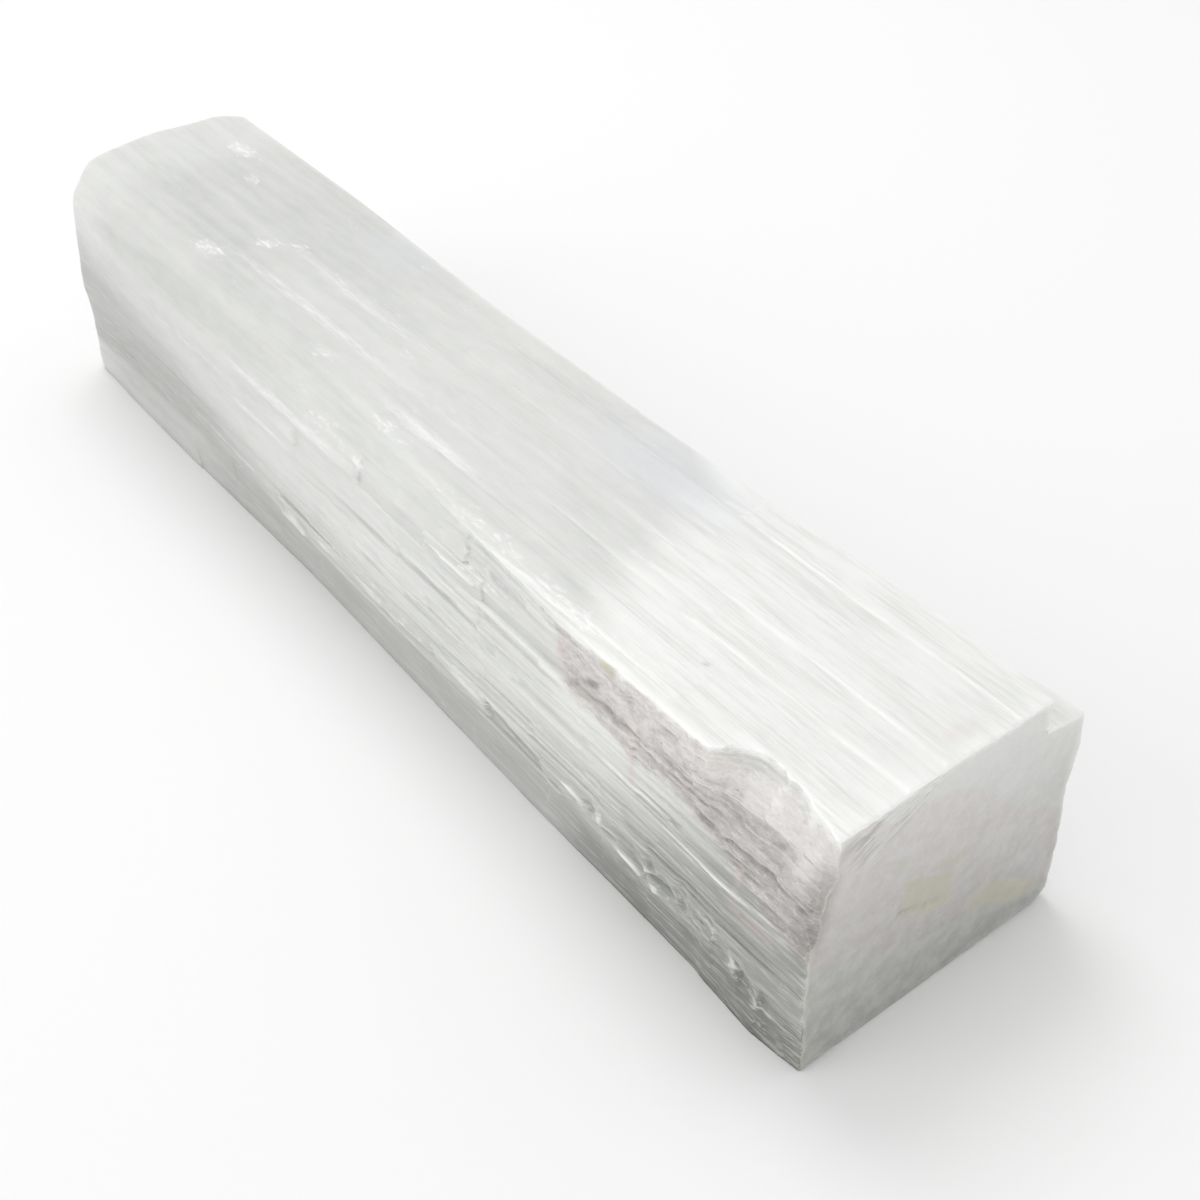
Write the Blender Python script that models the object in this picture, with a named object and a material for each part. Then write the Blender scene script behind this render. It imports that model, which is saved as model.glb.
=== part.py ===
"""Selenite log: one block of satin spar whose fibres all run along it.

The log lies on a flat sole. One end is sawn nearly square, the other is broken and worn round.
Sizes are in millimetres here and become metres in the mesh. X runs along the fibres with the sawn
end at +X, Y runs across, and Z is up. The mesh is centred over the middle of its own sole.
"""
import math
import random

import bmesh
import bpy

MM = 0.001
NODE_NAME = "selenite_log"

# Overall form. A station is a distance along the log from its middle.
HALF_RUN = 100.0          # stations reach this far each way before the ends are shaped
TOP_HEIGHT = 38.9         # top face over the sole, at the middle of the log
TOP_FALL = 0.0045         # the top comes down this much for each millimetre towards the sawn end
TOP_CROWN = 0.3           # the middle of the top stands this much over its edges
TOP_WEAR = 0.2            # the whole top is worn down by this much
SHELF_HEIGHTS = (33.2, 32.4)              # inner and outer edge of the long shelf on the right side
SOLE_HALF = 14.0          # the middle of the sole is flat this far each way
EDGE_DROP = 0.3           # the top edges are worn down by this much more
FOOT_ROUND = 1.5          # the right foot of the log is worn round by about this much
MIDDLE_Y = 1.5            # the ends are rounded towards this line along the log, at half height

# The corner of the top that is worn down, by the sawn end and the left edge.
CORNER_DROP = 0.4         # how far it goes down
CORNER_START, CORNER_RUN = 84.0, 17.0     # station where it starts, and the length it takes
CORNER_Y, CORNER_SPAN = -4.0, 12.0        # distance across where it starts, and the width it takes

# The two ends.
SAWN_X, SAWN_SKEW = 99.4, -0.045          # sawn end: x at y = 0, and how x changes with y
SAWN_CHAMFER = 0.4        # worn edge round the sawn end
BROKEN_X = -106.4         # furthest x of the broken end
BROKEN_ROUND = 3.2        # radius round the edge of the broken end
LEFT_BOW_Y, LEFT_BOW = 6.0, 0.012         # left of this line the broken end bows back, this fast
RIGHT_BOW_Y, RIGHT_BOW = 14.0, 0.1        # and the same right of this line
SKEW_RUN = 55.0           # each end's slant fades out over this length
CAP_RINGS = ((0.84, 0.5), (0.62, 1.0), (0.34, 1.35))    # size of each ring of the broken end, and its bulge
CAP_BULGE = 1.5           # bulge of the broken end at its middle
FIBRE_ENDS = 0.35         # bundles of fibres end unevenly by up to this much

# Fibre seams and the steps where strips of fibres break off.
LIP = 0.16                # a seam's small wall spans this much each side of it
STEP_HALF = 0.4           # a break steps up or down over twice this length
TAPER = 0.55              # a strip slopes this share of the way to its next height before it breaks
JAG = 0.85                # breaks are uneven along the log by up to this much
WANDER = 0.25             # seams wander sideways by up to this much
SLOW_WANDER, QUICK_WANDER = 19.0, 7.0     # how gently the two parts of the wander go along the log
FILL_GAP = 6.5            # longest stretch with no station
SEED = 41

# Levels of the log's own edges: heights on the side faces, distances across on the top.
EDGE_LEVEL = 38.2         # both top edges
FOOT_LEVEL = 1.6          # right foot
TOP_LEFT, TOP_RIGHT = -20.0, 19.0
FIXED_SEAMS = (0.0, FOOT_LEVEL, 32.4, 33.2, 34.0, EDGE_LEVEL, TOP_LEFT, TOP_RIGHT)      # these don't wander
LEFT_CLOSING, RIGHT_CLOSING = 28.0, 34.5  # levels over these close up where the top edge is low
TOP_MIDDLE = 12.0         # levels on the top further out than this follow its edges

# How far the left face stands out from the middle plane, at each height and each form station.
FORM_STATIONS = (-100.0, -80.0, -60.0, -20.0, 20.0, 50.0, 75.0, 85.0, 92.0, 100.0)
LEFT_FACE = {
    0.0: (16.8, 17.2, 17.6, 17.5, 18.8, 19.5, 20.1, 20.7, 21.1, 20.0),
    4.0: (17.2, 17.6, 18.0, 18.2, 19.2, 19.9, 20.5, 20.9, 21.2, 20.3),
    10.0: (17.6, 17.5, 17.9, 18.9, 19.7, 20.3, 20.7, 21.0, 21.1, 20.7),
    18.0: (18.4, 18.4, 18.7, 19.7, 20.4, 20.8, 21.0, 21.2, 21.1, 20.9),
    25.0: (17.8, 18.9, 19.4, 19.9, 20.4, 20.7, 20.9, 20.9, 20.7, 20.6),
    30.0: (17.3, 18.9, 19.4, 19.7, 20.1, 20.5, 20.5, 19.9, 19.5, 19.8),
    34.0: (16.8, 18.3, 18.8, 19.0, 19.5, 20.3, 20.3, 18.3, 17.9, 18.2),
    EDGE_LEVEL: (15.0, 16.4, 17.0, 17.4, 18.0, 19.8, 20.0, 15.8, 15.6, 15.2),
}
# The same for the right face; its top edge stands well inside the body below the shelf.
RIGHT_FACE = {
    EDGE_LEVEL: (19.4, 19.3, 19.2, 17.5, 17.4, 17.9, 18.9, 19.3, 18.9, 18.4),
    34.0: (19.5, 19.5, 19.4, 17.8, 17.7, 18.1, 19.0, 19.4, 19.0, 18.5),
    33.2: (19.6, 19.7, 19.6, 18.1, 18.0, 18.3, 19.1, 19.5, 19.1, 18.6),
    32.4: (19.8, 20.2, 20.5, 20.8, 21.4, 22.2, 23.1, 23.8, 25.4, 25.6),
    27.0: (20.0, 20.6, 21.0, 21.7, 22.5, 23.4, 24.3, 24.8, 26.0, 26.1),
    20.0: (20.0, 20.7, 21.1, 21.9, 22.7, 23.5, 24.2, 24.6, 25.1, 25.1),
    9.0: (19.8, 20.5, 20.9, 21.9, 22.9, 23.7, 24.5, 24.9, 25.6, 25.8),
    FOOT_LEVEL: (19.2, 19.9, 20.4, 21.4, 22.4, 23.3, 24.2, 24.6, 25.2, 25.3),
}

# Strips of fibres between two seams: low seam, high seam, then how proud the strip stands from each
# break on. Heights on the left and right faces, distances across on the top and the sole.
LEFT_STRIPS = (
    (0.0, 4.0, ((-100, 0.6), (-58, 0.0), (29, 0.2), (55, 0.0), (92, -0.5), (96, 0.0))),
    (4.0, 9.7, ((-100, -0.3), (-58, -0.9), (48, -0.3), (61, 0.1), (71, 0.4), (84, 0.0), (89, -0.4))),
    (9.7, 13.8, ((-100, -0.9), (-58, -0.3), (-25, 0.6), (34, -0.5), (48, 0.4), (61, -0.1), (84, 0.3))),
    (13.8, 17.0, ((-100, -0.8), (-45, -0.2), (-8, 0.2), (34, 0.1), (61, 0.5), (71, 0.0), (78, -0.5))),
    (17.0, 20.3, ((-100, -0.1), (-45, 0.0), (-8, 0.2), (34, -0.2), (61, 0.2), (78, 0.5))),
    (20.3, 22.6, ((-100, 0.3), (-33, 0.0), (20, -0.5), (34, 0.2), (55, 0.5), (89, 0.3))),
    (22.6, 25.0, ((-100, 0.0), (-33, 0.3), (12, 0.0), (34, 0.5), (42, 0.0), (78, 0.3), (92, -0.2))),
    (25.0, 27.6, ((-100, 0.4), (-17, 0.1), (12, -0.5), (34, 0.3), (67, 0.0), (84, -0.5), (96, -0.9))),
    (27.6, 30.8, ((-100, 0.5), (-17, -0.1), (2, 0.3), (12, 0.7), (34, 0.2), (48, 0.5), (67, -0.1))),
    (30.8, 33.4, ((-100, 0.8), (2, -0.1), (20, 0.6), (34, -0.3), (55, -0.6), (78, -0.1), (89, -0.4))),
    (33.4, 36.0, ((-100, 0.5), (2, -0.2), (12, 0.4), (29, -0.5), (61, -0.2), (78, -0.5), (89, 0.0))),
    (36.0, EDGE_LEVEL, ((-100, 0.1), (2, 0.3), (29, -0.3), (48, 0.1), (78, -0.2))),
)
TOP_STRIPS = (
    (TOP_LEFT, -17.2, ((-100, -0.4), (-17, -0.1), (29, 0.0))),
    (-17.2, -12.0, ((-100, 0.0), (34, 0.15), (71, 0.0))),
    (-12.0, -6.5, ((-100, 0.15), (-58, 0.0), (42, -0.1))),
    (-6.5, 0.0, ((-100, 0.0), (2, 0.15), (61, 0.0))),
    (0.0, 6.0, ((-100, 0.1), (-33, -0.05), (34, 0.1))),
    (6.0, 12.5, ((-100, -0.1), (-8, 0.1), (55, 0.0))),
    (12.5, TOP_RIGHT, ((-100, 0.0), (20, -0.2), (48, 0.1))),
)
RIGHT_STRIPS = (
    (36.2, EDGE_LEVEL, ((-100, 0.0), (-45, 0.3), (12, 0.0), (48, 0.3))),
    (34.0, 36.2, ((-100, 0.2), (-17, -0.2), (34, 0.1))),
    (29.5, 32.4, ((-100, 0.0), (-58, 0.5), (2, 0.0), (42, 0.4), (84, 0.0))),
    (26.0, 29.5, ((-100, 0.4), (-45, -0.3), (12, 0.5), (67, -0.4), (89, 0.2))),
    (21.0, 26.0, ((-100, -0.3), (-25, 0.5), (34, -0.4), (78, 0.0))),
    (15.5, 21.0, ((-100, 0.3), (-8, -0.4), (55, 0.5), (84, -0.2))),
    (10.0, 15.5, ((-100, 0.0), (-33, 0.4), (20, -0.4), (71, 0.2))),
    (5.5, 10.0, ((-100, 0.5), (-17, -0.3), (42, 0.4), (89, 0.0))),
    (FOOT_LEVEL, 5.5, ((-100, 0.0), (-45, 0.3), (29, -0.4), (61, 0.0))),
)
SOLE_LEFT, SOLE_RIGHT = -16.2, 19.0       # levels that follow the two feet
SOLE_STRIPS = (
    (SOLE_HALF, SOLE_RIGHT, ((-100, -0.3), (-33, -0.6), (20, -0.3), (67, -0.4))),
    (-SOLE_HALF, SOLE_HALF, ((-100, 0.0),)),
    (SOLE_LEFT, -SOLE_HALF, ((-100, -0.3), (-8, -0.2), (42, -0.4))),
)


def smooth(value):
    """Ease from 0 to 1 as value goes from 0 to 1."""
    value = min(max(value, 0.0), 1.0)
    return value * value * (3.0 - 2.0 * value)


def between(xs, ys, x):
    """Read a line drawn through the points (xs, ys), with xs rising."""
    if x <= xs[0]:
        return ys[0]
    for i in range(1, len(xs)):
        if x <= xs[i]:
            share = (x - xs[i - 1]) / (xs[i] - xs[i - 1])
            return ys[i - 1] + share * (ys[i] - ys[i - 1])
    return ys[-1]


def face_reach(face, height, station):
    """How far a side face stands out from the middle plane."""
    heights = sorted(face)
    reaches = [between(FORM_STATIONS, face[h], station) for h in heights]
    return between(heights, reaches, height)


def top_height(y, station):
    """Height of the top face, with its worn corner."""
    crown = TOP_CROWN * (1.0 - (y / TOP_RIGHT) ** 2)
    along = smooth((station - CORNER_START) / CORNER_RUN)
    across = smooth((CORNER_Y - y) / CORNER_SPAN)
    return TOP_HEIGHT - TOP_FALL * station - TOP_WEAR + crown - CORNER_DROP * along * across


def squeeze(level, start, nominal_end, real_end):
    """Move levels past start so that nominal_end lands on real_end."""
    if (level - start) * (nominal_end - start) <= 0.0:
        return level
    return start + (level - start) * (real_end - start) / (nominal_end - start)


class Row:
    """One line of points along the log, on one strip of one face."""

    def __init__(self, face, seam, side, breaks):
        self.face = face
        self.seam = seam
        self.level = seam + side * LIP
        self.breaks = breaks

    def proud(self, station):
        """Height of this row's strip over its face: it slopes a little, then steps at a break."""
        passed = [i for i, (start, _) in enumerate(self.breaks) if start <= station]
        start, value = self.breaks[passed[-1]]
        if len(passed) == len(self.breaks):
            return value
        end, following = self.breaks[len(passed)]
        return value + TAPER * (following - value) * (station - start) / (end - start)

    def wandering(self, station):
        """The row's level, with the slow wander that both rows of its seam share."""
        if self.seam in FIXED_SEAMS:
            return self.level
        slow = math.sin(station / SLOW_WANDER + 1.7 * self.seam)
        quick = math.sin(station / QUICK_WANDER + 4.1 * self.seam)
        return self.level + WANDER * (0.7 * slow + 0.3 * quick)

    def section_point(self, station):
        """The row's (y, z) on the cross-section at a station."""
        proud = self.proud(station)
        level = self.wandering(station)
        return FACE_POINTS[self.face](level, proud, station)


def left_point(level, proud, station):
    """A point on the left face; its levels close up where the top edge is low."""
    edge_height = top_height(-face_reach(LEFT_FACE, EDGE_LEVEL, station), station) - EDGE_DROP
    height = squeeze(level, LEFT_CLOSING, EDGE_LEVEL, edge_height)
    return -face_reach(LEFT_FACE, level, station) - proud, height


def right_point(level, proud, station):
    """A point on the right face."""
    edge_height = top_height(face_reach(RIGHT_FACE, EDGE_LEVEL, station), station) - EDGE_DROP
    height = squeeze(level, RIGHT_CLOSING, EDGE_LEVEL, edge_height)
    return face_reach(RIGHT_FACE, level, station) + proud, height


def top_point(level, proud, station):
    """A point on the top face, whose outer levels follow its two edges."""
    y = squeeze(level, -TOP_MIDDLE, TOP_LEFT, -face_reach(LEFT_FACE, EDGE_LEVEL, station))
    y = squeeze(y, TOP_MIDDLE, TOP_RIGHT, face_reach(RIGHT_FACE, EDGE_LEVEL, station))
    return y, top_height(y, station) + proud


def sole_point(level, proud, station):
    """A point on the sole, whose outer levels follow the feet of the sides."""
    right_foot = face_reach(RIGHT_FACE, FOOT_LEVEL, station) - FOOT_ROUND
    left_foot = FOOT_ROUND / 2.0 - face_reach(LEFT_FACE, 0.0, station)
    y = squeeze(level, SOLE_HALF, SOLE_RIGHT, right_foot)
    return squeeze(y, -SOLE_HALF, SOLE_LEFT, left_foot), -proud


FACE_POINTS = {"left": left_point, "top": top_point, "right": right_point, "sole": sole_point}


def strip_rows(face, strips):
    """Two rows for each strip, a little inside its two seams."""
    rows = []
    for low, high, breaks in strips:
        rows.append(Row(face, low, 1, breaks))
        rows.append(Row(face, high, -1, breaks))
    return rows


def plain_row(face, level):
    """A row that stays on its face."""
    return Row(face, level, 0, ((-HALF_RUN, 0.0),))


def outline_rows():
    """All rows, up the left face, over the top, down the right face and back along the sole."""
    left = [plain_row("left", 0.0)] + strip_rows("left", LEFT_STRIPS)
    top = strip_rows("top", TOP_STRIPS)
    right = strip_rows("right", RIGHT_STRIPS) + [plain_row("right", height) for height in SHELF_HEIGHTS]
    sole = strip_rows("sole", SOLE_STRIPS)
    for downward in (right, sole):
        downward.sort(key=lambda row: -row.level)
    return left + top + right + sole


def break_stations():
    """Every station where some strip steps, in order."""
    strips = LEFT_STRIPS + TOP_STRIPS + RIGHT_STRIPS + SOLE_STRIPS
    return sorted({start for strip in strips for start, _ in strip[2] if abs(start) < HALF_RUN})


def all_stations():
    """Stations from the broken end to the sawn end, each with the number of its break, or None."""
    stations = [(-HALF_RUN + BROKEN_ROUND * share, None) for share in (0.0, 0.1, 0.35, 1.0)]
    for number, start in enumerate(break_stations()):
        stations.append((start - STEP_HALF, number))
        stations.append((start + STEP_HALF, number))
    stations.append((HALF_RUN - SAWN_CHAMFER, None))
    stations.append((HALF_RUN, None))
    filled = [stations[0]]
    for station, number in stations[1:]:
        gap = station - filled[-1][0]
        pieces = math.ceil(gap / FILL_GAP)
        first = filled[-1][0]
        filled += [(first + gap * i / pieces, None) for i in range(1, pieces)]
        filled.append((station, number))
    return filled


def end_inset(station):
    """How far the section shrinks towards its middle close to an end."""
    from_broken = station + HALF_RUN
    if from_broken < BROKEN_ROUND:
        return BROKEN_ROUND - math.sqrt(BROKEN_ROUND ** 2 - (BROKEN_ROUND - from_broken) ** 2)
    from_sawn = HALF_RUN - station
    return max(0.0, SAWN_CHAMFER - from_sawn)


def end_shift(station, y):
    """How far a point moves along the log so that the ends get their slant and bow."""
    sawn = SAWN_X + SAWN_SKEW * y - HALF_RUN
    left_bow = LEFT_BOW * max(0.0, LEFT_BOW_Y - y) ** 2
    right_bow = RIGHT_BOW * max(0.0, y - RIGHT_BOW_Y) ** 2
    broken = BROKEN_X + left_bow + right_bow + HALF_RUN
    near = smooth((station - HALF_RUN + SKEW_RUN) / SKEW_RUN)
    far = smooth((SKEW_RUN - HALF_RUN - station) / SKEW_RUN)
    return near * sawn + far * broken


def ring_points(station, rows, jags):
    """The cross-section at one station, as points in millimetres."""
    inset = end_inset(station)
    middle_z = TOP_HEIGHT / 2.0
    points = []
    for row, jag in zip(rows, jags):
        full_y, full_z = row.section_point(station)
        keep = 1.0 - inset / max(abs(full_y - MIDDLE_Y), abs(full_z - middle_z))
        y = MIDDLE_Y + (full_y - MIDDLE_Y) * keep
        z = full_z + inset if row.face == "sole" else middle_z + (full_z - middle_z) * keep
        points.append((station + jag + end_shift(station, y), y, z))
    return points


def log_rings(rng):
    """Every ring of the log from the broken end to the sawn end."""
    rows = outline_rows()
    uneven = [[rng.uniform(-JAG, JAG) for _ in rows] for _ in break_stations()]
    level = [0.0] * len(rows)
    return [ring_points(station, rows, level if number is None else uneven[number])
            for station, number in all_stations()]


def fibre_end(y, z):
    """How far the bundle of fibres at (y, z) stands out of the broken end."""
    return FIBRE_ENDS * math.sin(y / 2.3 + 1.1 * math.sin(z / 5.0)) * math.cos(z / 3.7)


def broken_rings(outer):
    """Inner rings and middle point of the broken end, a shallow uneven dome."""
    middle = [sum(point[axis] for point in outer) / len(outer) for axis in range(3)]
    rings = []
    for share, bulge in CAP_RINGS:
        ring = []
        for x, y, z in outer:
            inner_y = middle[1] + (y - middle[1]) * share
            inner_z = middle[2] + (z - middle[2]) * share
            dome_x = middle[0] + (x - middle[0]) * share - bulge
            ring.append((dome_x - fibre_end(inner_y, inner_z), inner_y, inner_z))
        rings.append(ring)
    return rings, (middle[0] - CAP_BULGE, middle[1], middle[2])


def bridge(mesh, first, second):
    """Join two rings of vertices with quads."""
    count = len(first)
    for i in range(count):
        j = (i + 1) % count
        mesh.faces.new((first[i], first[j], second[j], second[i]))


def log_mesh():
    """The whole log as one closed mesh."""
    rings = log_rings(random.Random(SEED))
    inner, tip = broken_rings(rings[0])
    mesh = bmesh.new()
    loops = [[mesh.verts.new([c * MM for c in point]) for point in ring] for ring in inner[::-1] + rings]
    tip_vertex = mesh.verts.new([c * MM for c in tip])
    for first, second in zip(loops, loops[1:]):
        bridge(mesh, first, second)
    for i, vertex in enumerate(loops[0]):
        mesh.faces.new((tip_vertex, loops[0][(i + 1) % len(loops[0])], vertex))
    mesh.faces.new(loops[-1])
    bmesh.ops.recalc_face_normals(mesh, faces=mesh.faces)
    return mesh


def centre_on_sole(mesh):
    """Move the mesh so that the origin is under the middle of its box, on the sole."""
    low = [min(vertex.co[axis] for vertex in mesh.verts) for axis in range(3)]
    high = [max(vertex.co[axis] for vertex in mesh.verts) for axis in range(3)]
    shift = (-(low[0] + high[0]) / 2.0, -(low[1] + high[1]) / 2.0, -low[2])
    bmesh.ops.translate(mesh, vec=shift, verts=mesh.verts)


def selenite_material():
    """Silky white satin spar."""
    material = bpy.data.materials.new("selenite")
    material.use_nodes = True
    shader = material.node_tree.nodes["Principled BSDF"]
    shader.inputs["Base Color"].default_value = (0.80, 0.81, 0.77, 1.0)
    shader.inputs["Roughness"].default_value = 0.42
    shader.inputs["Metallic"].default_value = 0.0
    shader.inputs["IOR"].default_value = 1.52
    return material


def build_log():
    """Make the log's object and link it to the scene."""
    mesh = log_mesh()
    centre_on_sole(mesh)
    data = bpy.data.meshes.new(NODE_NAME)
    mesh.to_mesh(data)
    mesh.free()
    data.materials.append(selenite_material())
    log = bpy.data.objects.new(NODE_NAME, data)
    bpy.context.scene.collection.objects.link(log)
    return log


for old in list(bpy.data.objects):
    bpy.data.objects.remove(old, do_unlink=True)
build_log()
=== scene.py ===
"""Selenite log: the silky dressed surface of one block of satin spar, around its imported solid.

Sizes are in millimetres in the log's own frame: X runs along the fibres with the sawn end at +X,
Y runs across and Z is up from the sole. A station is a distance along X, and a level is a distance
across a face: a height on the two side faces, and a distance across on the top and the sole. The
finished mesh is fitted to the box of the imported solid.
"""
from __future__ import annotations

import logging
import math
from dataclasses import dataclass, field
from enum import Enum

import bpy
import numpy as np
from mathutils import Matrix, Vector

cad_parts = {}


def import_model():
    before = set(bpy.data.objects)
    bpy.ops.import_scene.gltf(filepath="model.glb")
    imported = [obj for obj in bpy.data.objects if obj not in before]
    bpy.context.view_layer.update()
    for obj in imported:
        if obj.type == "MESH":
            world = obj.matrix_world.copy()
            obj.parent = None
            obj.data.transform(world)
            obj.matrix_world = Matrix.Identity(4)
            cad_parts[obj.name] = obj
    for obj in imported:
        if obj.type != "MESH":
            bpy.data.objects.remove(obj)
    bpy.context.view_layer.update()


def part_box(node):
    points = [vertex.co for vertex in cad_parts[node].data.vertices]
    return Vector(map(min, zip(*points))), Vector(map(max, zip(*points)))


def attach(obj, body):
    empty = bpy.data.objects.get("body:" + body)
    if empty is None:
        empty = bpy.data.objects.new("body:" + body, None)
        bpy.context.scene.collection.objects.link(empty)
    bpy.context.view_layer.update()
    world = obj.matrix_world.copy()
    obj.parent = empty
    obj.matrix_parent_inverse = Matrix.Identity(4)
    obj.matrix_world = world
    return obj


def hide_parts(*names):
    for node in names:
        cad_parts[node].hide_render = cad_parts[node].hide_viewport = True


LOG = logging.getLogger("selenite_log")
NODE = "selenite_log"
MM = 0.001

Array = np.ndarray
Colour = tuple[float, float, float, float]
Breaks = tuple[tuple[float, float], ...]


class Face(Enum):
    """The faces of the log."""

    LEFT = 0
    TOP = 1
    RIGHT = 2
    SOLE = 3
    SAWN = 4
    BROKEN = 5


# The form stations, and how far each side face stands out from the middle plane at each height.
EDGE_LEVEL = 38.2
FOOT_LEVEL = 1.6
FORM_STATIONS = (-100.0, -80.0, -60.0, -20.0, 20.0, 50.0, 75.0, 85.0, 92.0, 100.0)
LEFT_FORM = {
    0.0: (16.8, 17.2, 17.6, 17.5, 18.8, 19.5, 20.1, 20.7, 21.1, 20.0),
    4.0: (17.2, 17.6, 18.0, 18.2, 19.2, 19.9, 20.5, 20.9, 21.2, 20.3),
    10.0: (17.6, 17.5, 17.9, 18.9, 19.7, 20.3, 20.7, 21.0, 21.1, 20.7),
    18.0: (18.4, 18.4, 18.7, 19.7, 20.4, 20.8, 21.0, 21.2, 21.1, 20.9),
    25.0: (17.8, 18.9, 19.4, 19.9, 20.4, 20.7, 20.9, 20.9, 20.7, 20.6),
    30.0: (17.3, 18.9, 19.4, 19.7, 20.1, 20.5, 20.5, 19.9, 19.5, 19.8),
    34.0: (16.8, 18.3, 18.8, 19.0, 19.5, 20.3, 20.3, 18.3, 17.9, 18.2),
    EDGE_LEVEL: (15.0, 16.4, 17.0, 17.4, 18.0, 19.8, 20.0, 14.8, 15.4, 17.9),
}
# Stations moved so that the bite out of the top-left edge starts with a sharp step.
BITE_STATIONS = ((-120, -120), (50, 50), (80.4, 75), (81.5, 80.5), (85.6, 85), (92, 92), (120, 120))
RIGHT_FORM = {
    EDGE_LEVEL: (19.4, 19.3, 19.2, 17.5, 17.4, 17.9, 18.9, 19.3, 18.9, 18.4),
    34.0: (19.5, 19.5, 19.4, 17.8, 17.7, 18.1, 19.0, 19.4, 19.0, 18.5),
    33.2: (19.6, 19.7, 19.6, 18.1, 18.0, 18.3, 19.1, 19.5, 19.1, 18.6),
    32.4: (19.8, 20.2, 20.5, 20.8, 21.4, 22.2, 23.1, 23.8, 25.4, 25.6),
    27.0: (20.0, 20.6, 21.0, 21.7, 22.5, 23.4, 24.3, 24.8, 26.0, 26.1),
    20.0: (20.0, 20.7, 21.1, 21.9, 22.7, 23.5, 24.2, 24.6, 25.1, 25.1),
    9.0: (19.8, 20.5, 20.9, 21.9, 22.9, 23.7, 24.5, 24.9, 25.6, 25.8),
    FOOT_LEVEL: (19.2, 19.9, 20.4, 21.4, 22.4, 23.3, 24.2, 24.6, 25.2, 25.3),
}

# Levels of the log's own edges, where seams don't wander.
TOP_LEFT, TOP_RIGHT = -20.0, 19.0
SOLE_LEFT, SOLE_RIGHT, SOLE_HALF = -16.2, 19.0, 14.0
SHELF_INNER, SHELF_OUTER = 33.2, 32.4
SAWN_BLOCKS = (1, 2)              # which of the mesh's blocks of faces lie on the sawn end
FAN_MEETS = (5.7, 39.9)           # where the cleavage lines of the sawn end meet: across and up
FIXED_SEAMS = (0.0, FOOT_LEVEL, 32.4, 34.0, EDGE_LEVEL, TOP_LEFT, TOP_RIGHT)

# Each strip of fibres: low seam, high seam, and how proud it stands from each break on.
LEFT_STRIPS = (
    (0.0, 4.0, ((-100, 0.6), (-58, 0.0), (29, 0.2), (55, 0.0), (92, -0.5), (96, 0.0))),
    (4.0, 9.7, ((-100, -0.3), (-45, -0.65), (48, -0.3), (61, 0.1), (71, 0.4), (84, 0.0), (89, -0.4))),
    (9.7, 13.8, ((-100, -0.9), (-58, -0.3), (-25, 0.6), (34, -0.5), (48, 0.4), (61, -0.1), (84, 0.3))),
    (13.8, 17.0, ((-100, -0.8), (-45, -0.2), (-8, 0.2), (34, 0.1), (61, 0.4), (71, 0.1), (78, -0.15))),
    (17.0, 20.3, ((-100, -0.1), (-45, 0.0), (-8, 0.2), (34, -0.2), (61, 0.2), (78, 0.25))),
    (20.3, 22.6, ((-100, 0.3), (-33, 0.0), (20, -0.5), (34, 0.2), (55, 0.3), (89, 0.15))),
    (22.6, 25.0, ((-100, 0.0), (-33, 0.3), (12, 0.0), (34, 0.5), (42, 0.0), (78, 0.1), (92, -0.1))),
    (25.0, 27.6, ((-100, 0.4), (-17, 0.1), (12, -0.5), (34, 0.3), (67, 0.0), (84, -0.2), (96, -0.4))),
    (27.6, 30.8, ((-100, 0.5), (-17, -0.1), (2, 0.3), (12, 0.7), (34, 0.2), (48, 0.5), (67, -0.1))),
    (30.8, 33.4, ((-100, 0.8), (2, -0.1), (20, 0.6), (34, -0.3), (55, -0.6), (78, -0.1), (89, -0.4))),
    (33.4, 36.0, ((-100, 0.5), (2, -0.2), (12, 0.4), (29, -0.5), (61, -0.2), (78, -0.5), (89, 0.0))),
    (36.0, EDGE_LEVEL, ((-100, 0.1), (2, 0.3), (29, -0.3), (48, 0.1), (78, -0.2))),
)
TOP_STRIPS = (
    (TOP_LEFT, -17.2, ((-100, -0.4), (-17, -0.1), (29, 0.0))),
    (-17.2, -12.0, ((-100, 0.0), (34, 0.15), (71, 0.0))),
    (-12.0, -6.5, ((-100, 0.15), (-58, 0.0), (42, -0.1))),
    (-6.5, 0.0, ((-100, 0.0), (2, 0.15), (61, 0.0))),
    (0.0, 6.0, ((-100, 0.1), (-33, -0.05), (34, 0.1))),
    (6.0, 12.5, ((-100, -0.1), (-8, 0.1), (55, 0.0))),
    (12.5, TOP_RIGHT, ((-100, 0.0), (20, -0.2), (48, 0.1))),
)
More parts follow.
